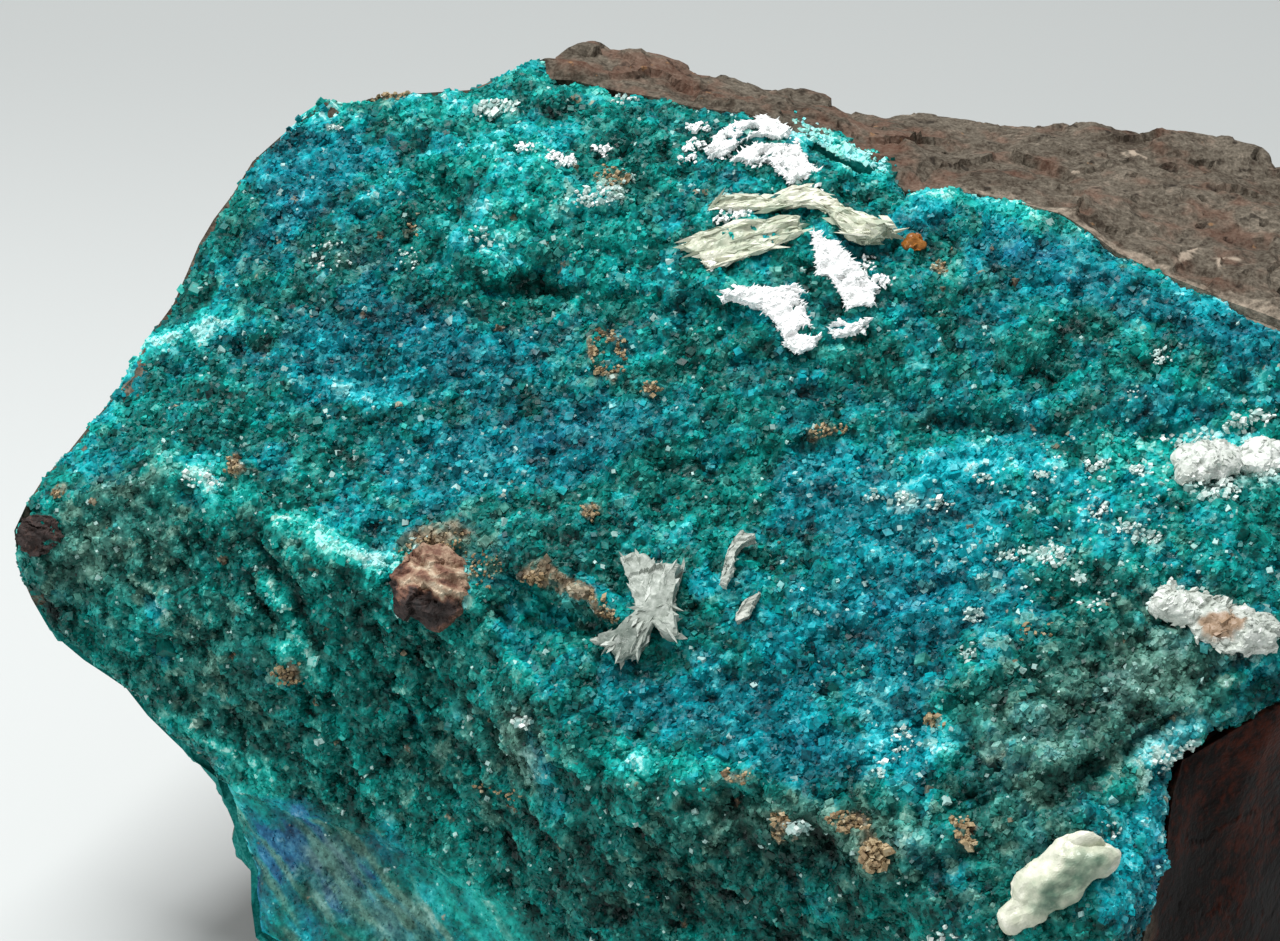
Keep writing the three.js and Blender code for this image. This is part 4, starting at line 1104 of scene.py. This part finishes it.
def build_trim(name, look, slot, longest, height_of, shade_of, times=2, lace=(0.0, 0.0)):
    """A piece in place of a trim node: its CAD solid refined, a little rounded and moved along its normals
    by a height, with shades. lace sinks parts of it into the crust, which leaves ragged holes: how far, and
    above which noise. Returns the piece without what has sunk."""
    points, triangles = node_mesh(name)
    points, triangles, _ = refined(points, triangles, np.full(len(triangles), longest))
    points = relaxed(points, triangles, 0.5, times)
    normals = point_normals(points, triangles)
    tones = shade_tones(*shade_of(points))
    depth, least = lace
    holes = ramp(layered(striped(points, PALE_GRAIN, 1.8), 1.4, 3, 501), least, least + 0.2)
    sink = depth * holes[:, None] * (np.array(SINK_WAY) @ AXES)
    carved = 1.8 * patches(CARVED, pictured(points), points, 93)
    points = points + normals * (height_of(points) - carved)[:, None] - sink
    write_piece(name + "_body", points, triangles, look, slot, {"tones": tones}, replaced=[name])
    return points, triangles[holes[triangles].max(1) < 0.5] if depth else triangles


def chalky(points):
    """Ragged chalk: small crests and chips."""
    crests = 0.16 * ridged(striped(points, PALE_GRAIN, 2.0), 1.1, 3, 301)
    return crests + 0.2 * layered(points, 0.9, 2, 311) - 0.3


def glassy(points):
    """Lengthwise ribs of a cleaved blade."""
    _, _, facet = cells(striped(points, PALE_GRAIN, 3.5), 0.9, 341)
    ribs = 0.2 * ridged(striped(points, PALE_GRAIN, 6), 1.1, 3, 321)
    return ribs + 0.22 * layered(points, 1.8, 3, 331) + 0.16 * facet - 0.35


def knobby(points):
    """Rounded knobs and small chips."""
    near, _, facet = cells(points, 1.1, 341)
    return 0.35 * (0.55 - near) + 0.3 * layered(points, 1.6, 3, 351) + 0.2 * facet


def melted(points):
    """Soft lobes and broad facets, 0.3 mm thicker all over."""
    near, _, facet = cells(warped(points, 2.6, 357), 2.6, 355)
    return 0.35 * (0.55 - near) + 0.6 * facet + 0.3 * layered(points, 1.3, 3, 351) + 0.3


def worn(points):
    """Soft uneven swells."""
    return 0.6 * layered(points, 4.0, 2, 353) + 0.14 * layered(points, 0.9, 2, 359)


def cleaved(points):
    """Broad smooth facets."""
    _, number, facet = cells(striped(points, (0.3, 0.9, 0.2), 1.8), 2.2, 345)
    return 0.45 * facet + 0.3 * (number - 0.5) + 0.1 * layered(points, 1.0, 2, 347)


def fibrous(points):
    """Short crossing fibres on an uneven lump."""
    _, number, facet = cells(points, 2.6, 365)
    fibres = 0.4 * ridged(striped(points, (1, -0.3, 0.2), 4), 1.0, 3, 361)
    return fibres + 0.6 * facet + 0.5 * (number - 0.5) + 0.4 * layered(points, 2.4, 2, 371) - 0.2


def shrunken(points):
    """An uneven lump, half a millimetre thinner."""
    return fibrous(points) - 0.5


def even_shade(level, spread, seed, tan=0.0):
    """A shade about a level, with broad noise, and the same share of tan all over."""
    def shade_of(points):
        return level + spread * layered(points, 1.8, 2, seed), np.full(len(points), tan)
    return shade_of


def placed_shade(level, table, spread, seed, tan_table=()):
    """A shade that patches of the photograph change, with noise, and tan where another table says so."""
    def shade_of(points):
        seen = pictured(points)
        shade = level + patches(table, seen, points, seed) + spread * layered(points, 1.4, 3, seed + 9)
        return shade, patches(tan_table, seen, points, seed + 3)
    return shade_of


def one_way(*direction):
    """The same direction of the measuring frame for all spots."""
    return lambda spots: np.tile(np.array(direction, float), (len(spots), 1))


def blade_ways(spots):
    """Up to the right on the left side, and down to the right on the arm that ends in a tip."""
    turn = ramp(pictured(spots)[:, 0], 795, 830)[:, None]
    return (1 - turn) * np.array([1, 0.27, 0.1]) + turn * np.array([1, -0.5, 0.1])


def star_ways(spots):
    """Away from the middle of the star."""
    ways = measured(spots) - measured(spots).mean(0)
    return ways * np.array([1, 1, 0.3])


def build_needles(name, sources, look, count, lengths, radius, ways, spread, rng, shade_of):
    """Small pale crystals lying on the sources' skins, mostly along the ways given for their spots."""
    starts = np.cumsum([0] + [len(points) for points, _ in sources])
    points = np.vstack([points for points, _ in sources])
    triangles = np.vstack([triangles + start for (_, triangles), start in zip(sources, starts)])
    triangles = triangles[face_normals(points, triangles) @ OUT > 0]
    spots, chosen = scattered(points, triangles, np.ones(len(triangles)), count, rng)
    normal = unit(face_normals(points, triangles)[chosen])
    axes = unit(ways(spots) @ AXES) + spread * rng.normal(size=(count, 3))
    axes = unit(axes - 0.8 * (axes * normal).sum(1)[:, None] * normal)
    halves = rng.uniform(*lengths, count)
    radii = radius * np.exp(rng.normal(0, 0.25, count))
    shapes = crystals(spots - normal * 0.5 * radii[:, None], axes, radii, halves, 0.6, rng)
    shade, tan = shade_of(spots)
    tones = shade_tones(shade + 0.15 * rng.normal(size=count), tan)
    write_crystals(name, shapes, look, "calcite", tones=tones)


# Which way flecks mostly lie, in the measuring frame
FLECK_WAY = (1, 0.3, 0.2)
# White, chalk and tan flecks in the photograph: place, half sizes, turn, how many, and their size in
# millimetres
WHITE_FLECKS = [
    (490, 108, 14, 8, 10, 60, 0.24), (512, 108, 6, 4, 0, 14, 0.2), (600, 196, 30, 9, 5, 80, 0.2),
    (628, 178, 10, 5, 0, 20, 0.16), (626, 100, 14, 6, 0, 24, 0.18), (335, 128, 6, 3, 0, 14, 0.18),
    (1045, 476, 9, 4, 0, 20, 0.17), (1095, 466, 16, 5, 0, 36, 0.17), (1140, 470, 12, 8, 0, 30, 0.18),
    (1096, 512, 16, 7, 10, 40, 0.17), (1138, 533, 22, 7, -20, 60, 0.18), (1015, 556, 16, 6, 15, 34, 0.19),
    (1052, 556, 12, 12, 40, 56, 0.2), (1078, 580, 7, 5, 0, 14, 0.18), (1100, 605, 7, 6, 0, 14, 0.17),
    (972, 615, 9, 8, 0, 30, 0.18), (968, 655, 8, 7, 0, 20, 0.18), (905, 500, 12, 7, 0, 26, 0.17),
    (940, 505, 12, 5, 0, 22, 0.16), (870, 497, 8, 8, 0, 16, 0.16), (985, 480, 10, 5, 0, 18, 0.16),
    (1160, 357, 9, 8, 0, 34, 0.14), (1135, 395, 10, 5, 0, 10, 0.14), (523, 720, 8, 7, 0, 30, 0.2),
    (800, 826, 12, 7, 0, 40, 0.22), (905, 745, 14, 20, 10, 40, 0.16), (880, 770, 10, 12, 0, 16, 0.16),
    (1165, 598, 20, 7, 25, 60, 0.2), (1110, 830, 10, 8, 0, 10, 0.16), (1172, 755, 30, 8, 28, 50, 0.16),
    (935, 940, 20, 10, 30, 20, 0.2), (1215, 488, 26, 12, 0, 80, 0.22), (1205, 458, 26, 16, 0, 60, 0.2),
    (1250, 420, 30, 8, 10, 50, 0.2), (1190, 440, 26, 8, 10, 36, 0.18), (1262, 640, 16, 9, 30, 40, 0.2),
    (1266, 470, 15, 8, 0, 60, 0.24), (330, 255, 24, 16, 0, 40, 0.13), (410, 260, 14, 10, 0, 26, 0.12),
    (205, 480, 26, 10, -10, 40, 0.15), (480, 240, 16, 12, 0, 20, 0.14), (1120, 470, 140, 36, 5, 60, 0.15),
    (1080, 560, 150, 50, 10, 50, 0.15),
]
CHALK_FLECKS = [
    (696, 128, 9, 3, 0, 36, 0.18), (694, 146, 11, 3, 10, 44, 0.18), (690, 160, 9, 3, 0, 24, 0.16),
    (720, 154, 14, 4, -10, 40, 0.18), (762, 162, 18, 4, 10, 44, 0.17), (804, 194, 20, 6, 10, 90, 0.18),
    (732, 216, 20, 5, 10, 70, 0.16), (714, 262, 9, 7, 0, 50, 0.16), (880, 283, 12, 6, 0, 60, 0.18),
    (852, 326, 14, 5, -10, 40, 0.18), (800, 174, 12, 6, 0, 34, 0.17), (742, 292, 16, 3, 0, 40, 0.17),
    (562, 161, 16, 4, -18, 60, 0.2), (527, 147, 9, 4, 0, 26, 0.18), (604, 150, 8, 5, 0, 24, 0.18),
    (868, 262, 8, 8, 0, 20, 0.16), (790, 148, 10, 8, 0, 24, 0.16),
]
TAN_FLECKS = [
    (652, 387, 8, 6, 0, 24, 0.17), (590, 511, 9, 7, 20, 24, 0.16), (828, 431, 18, 5, 8, 40, 0.16),
    (874, 856, 12, 14, 0, 90, 0.24), (290, 674, 18, 8, -15, 50, 0.15), (234, 466, 5, 11, 10, 30, 0.15),
    (594, 353, 4, 12, 0, 30, 0.15), (621, 351, 4, 12, 0, 30, 0.15), (607, 337, 12, 4, 0, 26, 0.15),
    (609, 371, 12, 4, 0, 30, 0.15), (606, 610, 24, 4, -45, 40, 0.14), (738, 776, 20, 4, -4, 22, 0.14),
    (848, 823, 22, 8, -10, 60, 0.18), (780, 826, 9, 15, 0, 50, 0.17), (430, 545, 36, 8, 12, 60, 0.13),
    (935, 722, 8, 7, 0, 26, 0.2), (1035, 630, 22, 5, 10, 16, 0.16), (963, 832, 9, 20, 20, 44, 0.2),
    (612, 178, 16, 10, 0, 50, 0.15), (940, 268, 6, 6, 0, 20, 0.16), (1222, 624, 12, 12, 0, 60, 0.2),
    (412, 232, 6, 6, 0, 10, 0.14), (60, 492, 7, 6, 0, 14, 0.16), (390, 95, 22, 5, 0, 50, 0.16),
    (500, 790, 26, 6, -10, 20, 0.15), (480, 570, 22, 20, 0, 60, 0.13), (536, 577, 9, 6, 0, 40, 0.18),
]


def build_flecks(name, table, look, slot, skin, shades, rng):
    """Clusters of flecks on the crust, each crystal set on the nearest shown point of the skin."""
    points, triangles, _ = skin
    normals = point_normals(points, triangles)
    used = np.unique(triangles)
    used = used[((TARGET + VIEW_DISTANCE * OUT - points[used]) * normals[used]).sum(1) > 0]
    wanted, sizes = [], []
    for x, y, half_width, half_height, turn, count, size in table:
        away = np.sqrt(rng.random(count))
        angle = rng.random(count) * 2 * math.pi
        dx, dy = half_width * away * np.cos(angle), half_height * away * np.sin(angle)
        cos, sin = math.cos(math.radians(turn)), math.sin(math.radians(turn))
        wanted.append(np.stack([x + dx * cos - dy * sin, y - dx * sin - dy * cos], 1))
        sizes.append(size * np.exp(rng.normal(0, 0.3, count)))
    sizes = np.concatenate(sizes)
    count = len(sizes)
    place = used[nearest(np.vstack(wanted), pictured(points[used]))[0]]
    centres = points[place] + 0.15 * rng.normal(size=(count, 3)) + 0.15 * normals[place]
    axes = tilted(np.array(FLECK_WAY) @ AXES + 0.4 * normals[place], 0.6, rng)
    halves = sizes * rng.uniform(0.9, 1.7, count)
    shapes = crystals(centres, axes, sizes, halves, 0.7, rng)
    write_crystals(name, shapes, look, slot, tones=shade_tones(rng.normal(*shades, count)))


# The scene

def build_stage():
    """A pale floor, a soft key light straight above, a wide weak one on the left, and pale air."""
    mesh = bpy.data.meshes.new("floor")
    corners = [(x * FLOOR_HALF, y * FLOOR_HALF, 0) for x, y in ((-1, -1), (1, -1), (1, 1), (-1, 1))]
    mesh.from_pydata(corners, [], [(0, 1, 2, 3)])
    floor = added("floor", mesh)
    mesh.materials.append(floor_look())
    for name, way, distance, size, power in LIGHTS:
        data = bpy.data.lights.new(name, "AREA")
        data.size = size
        data.energy = power
        light = added(name, data)
        direction = unit(np.array(way) @ AXES)
        light.location = TARGET * MM + direction * distance
        light.rotation_euler = Vector(-direction).to_track_quat("-Z", "Y").to_euler()
    world = bpy.data.worlds.new("air")
    bpy.context.scene.world = world
    world.use_nodes = True
    background = world.node_tree.nodes["Background"]
    background.inputs[0].default_value = srgb(AIR)
    background.inputs[1].default_value = AIR_STRENGTH


def build_camera():
    """The photograph's view, as far as it can be told."""
    data = bpy.data.cameras.new("view")
    data.sensor_width = SENSOR
    data.lens = LENS
    data.clip_start = 0.01
    data.clip_end = 20
    camera = added("view", data)
    camera.location = (TARGET + VIEW_DISTANCE * OUT) * MM
    camera.rotation_euler = Vector(-OUT).to_track_quat("-Z", "Y").to_euler()
    bpy.context.scene.camera = camera
    bpy.context.scene.view_settings.view_transform = "Standard"


# Colours of the pale and rusty pieces from dark to light
CHALK = [(0.1, "b4c8c2"), (0.35, "e2eae7"), (0.55, "fbfcfb"), (1.0, "ffffff")]
GLASS = [(0.1, "56705f"), (0.4, "97a590"), (0.65, "bfc3ae"), (0.95, "eceadc")]
SPAR = [(0.1, "5e6a62"), (0.4, "979f96"), (0.65, "c6ccc4"), (0.95, "f2f4f0")]
FLECK = [(0.1, "5c8a86"), (0.4, "9dbfb9"), (0.65, "d0e0da"), (0.95, "f8faf6")]
TAN = [(0.1, "463422"), (0.4, "836c4c"), (0.7, "b09c78"), (1.0, "d8ceb4")]
BOSS = [(0.1, "120c0a"), (0.3, "352622"), (0.5, "75503f"), (0.7, "a98f77"), (0.95, "d8d0b8")]
AMBER = [(0.1, "3c2008"), (0.45, "8a5118"), (0.75, "b47a38"), (1.0, "dcb488")]
# Paler and darker parts of single pieces, and the tan part of a knot
BLADE_PARTS = [(805, 196, 26, 9, 0, 0.5), (735, 213, 26, 8, 0, 0.3), (712, 262, 18, 8, 10, 0.35),
               (745, 258, 40, 6, 17, 0.2), (760, 240, 50, 4, 17, -0.2), (860, 232, 40, 5, -25, 0.15),
               (792, 238, 14, 8, 0, -0.25)]
STAR_PARTS = [(622, 646, 36, 20, 0, -1.0)]
LUMP_PARTS = [(1070, 882, 40, 17, 42, -1.1), (1048, 902, 22, 12, 30, -0.3), (1100, 862, 12, 10, 0, -0.3)]
KNOT_PARTS = [(1204, 468, 26, 20, 0, 0.35), (1264, 462, 30, 20, 0, 0.45), (1160, 600, 30, 16, -20, 0.25),
              (1250, 640, 40, 16, -20, 0.2)]
KNOT_TAN = [(1222, 624, 19, 16, 0, 1.3)]
# On the boss: cream streaks of its own, painted light on the upper right side and painted shade on the
# lower left and underneath
BOSS_STREAKS_AND_SHADE = [(412, 614, 48, 20, 10, -0.75), (438, 590, 36, 6, -14, 0.9), (428, 570, 30, 4, -18, 0.6),
              (440, 556, 40, 14, 0, 0.25), (388, 588, 12, 22, 0, -0.4), (470, 578, 12, 16, 0, 0.3)]
# The chalk patches, and above which noise they are sunk by CHALK_SINK
CHALK_SINK = 1.3
CHALK_PATCHES = [("calcite_fan_high", 0.12), ("calcite_fan_low", 0.12), ("calcite_strip", 0.5),
                 ("calcite_low_patch", 0.35), ("calcite_low_tail", 0.35)]


def build_calcite(skin, rng):
    """The pale pieces: ragged chalk patches, cleaved blades, the star, slivers, knots and the low lump."""
    chalk = calcite_look("calcite_chalk", CHALK, 0.75)
    glass = calcite_look("calcite_glass", GLASS, 0.3, 0.8, 0.08, Specular_IOR_Level=0.35)
    spar = calcite_look("calcite_spar", SPAR, 0.4, 0.5, 0.1, Specular_IOR_Level=0.35)
    skins = [build_trim(name, chalk, "calcite", 0.25, chalky, even_shade(0.75, 0.2, 401), 2,
                        (CHALK_SINK, least)) for name, least in CHALK_PATCHES]
    build_needles("calcite_chalk_needles", skins, chalk, 2200, (0.2, 0.6), 0.1, one_way(1, 0.35, 0.1), 0.5,
                  rng, even_shade(0.7, 0.2, 403))
    build_flecks("chalk_flecks", CHALK_FLECKS, chalk, "calcite", skin, (0.75, 0.2), rng)
    blade_shade = placed_shade(0.7, BLADE_PARTS, 0.2, 411)
    blades = [build_trim(name, glass, "calcite", 0.28, glassy, blade_shade)
              for name in ("calcite_left_blade", "calcite_right_blade")]
    build_needles("calcite_blade_laths", blades, glass, 120, (0.7, 2.0), 0.27, blade_ways, 0.05, rng,
                  blade_shade)
    star_shade = placed_shade(0.42, STAR_PARTS, 0.1, 421)
    star = build_trim("calcite_star", spar, "calcite", 0.28, cleaved, star_shade)
    build_needles("calcite_star_needles", [star], spar, 90, (0.5, 1.2), 0.3, star_ways, 0.15, rng,
                  even_shade(0.45, 0.15, 423))
    for name, tan in (("calcite_curved_sliver", 0.1), ("calcite_tan_sliver", 0.4)):
        build_trim(name, spar, "calcite", 0.22, glassy, even_shade(0.5, 0.2, 431, tan))
    knot_shade = placed_shade(0.62, KNOT_PARTS, 0.25, 441, KNOT_TAN)
    knots = [build_trim(name, spar, "calcite", 0.3, melted, knot_shade, 6)
             for name in ("calcite_knot_left", "calcite_knot_right", "calcite_knot_low")]
    build_needles("calcite_knot_crystals", knots, spar, 420, (0.25, 0.6), 0.3, one_way(1, 0.3, 0.2), 1.0,
                  rng, knot_shade)
    lump_shade = placed_shade(0.9, LUMP_PARTS, 0.12, 451)
    build_trim("calcite_low_lump", glass, "calcite", 0.35, worn, lump_shade, 24)


def build_iron():
    """The rusty boss on the ridge, the dark lump at the left tip and the orange grain."""
    rusty = iron_look("iron_boss", BOSS, 0.75)
    amber = iron_look("iron_amber", AMBER, 0.3, 0.1)
    build_trim("iron_boss", rusty, "iron_oxide", 0.25, fibrous, placed_shade(0.5, BOSS_STREAKS_AND_SHADE, 0.2, 461))
    build_trim("iron_tip", rusty, "iron_oxide", 0.25, shrunken, even_shade(0.12, 0.12, 471))
    build_trim("iron_orange_grain", amber, "iron_oxide", 0.2, knobby, even_shade(0.45, 0.2, 481))


def build_specimen():
    """The whole stone."""
    rock, crust = node_mesh("matrix_rock"), node_mesh("dioptase_crust")
    skin = build_crust(crust, rock, crust_look("dioptase_skin", 1.0))
    stone = build_rock(rock, crust, rock_look())
    grain_look = crust_look("dioptase_grains", 0.4)
    build_grains(skin, grain_look)
    build_edge_grains(stone, grain_look)
    rng = np.random.default_rng(SEED + 1)
    build_calcite(skin, rng)
    build_iron()
    white = calcite_look("calcite_fleck", FLECK, 0.4, 0.5, 0.08)
    build_flecks("white_flecks", WHITE_FLECKS, white, "calcite", skin, (0.6, 0.25), rng)
    tan = iron_look("iron_tan", TAN, 0.6)
    build_flecks("tan_flecks", TAN_FLECKS, tan, "iron_oxide", skin, (0.6, 0.22), rng)


build_camera()
build_stage()
build_specimen()
bpy.context.view_layer.update()
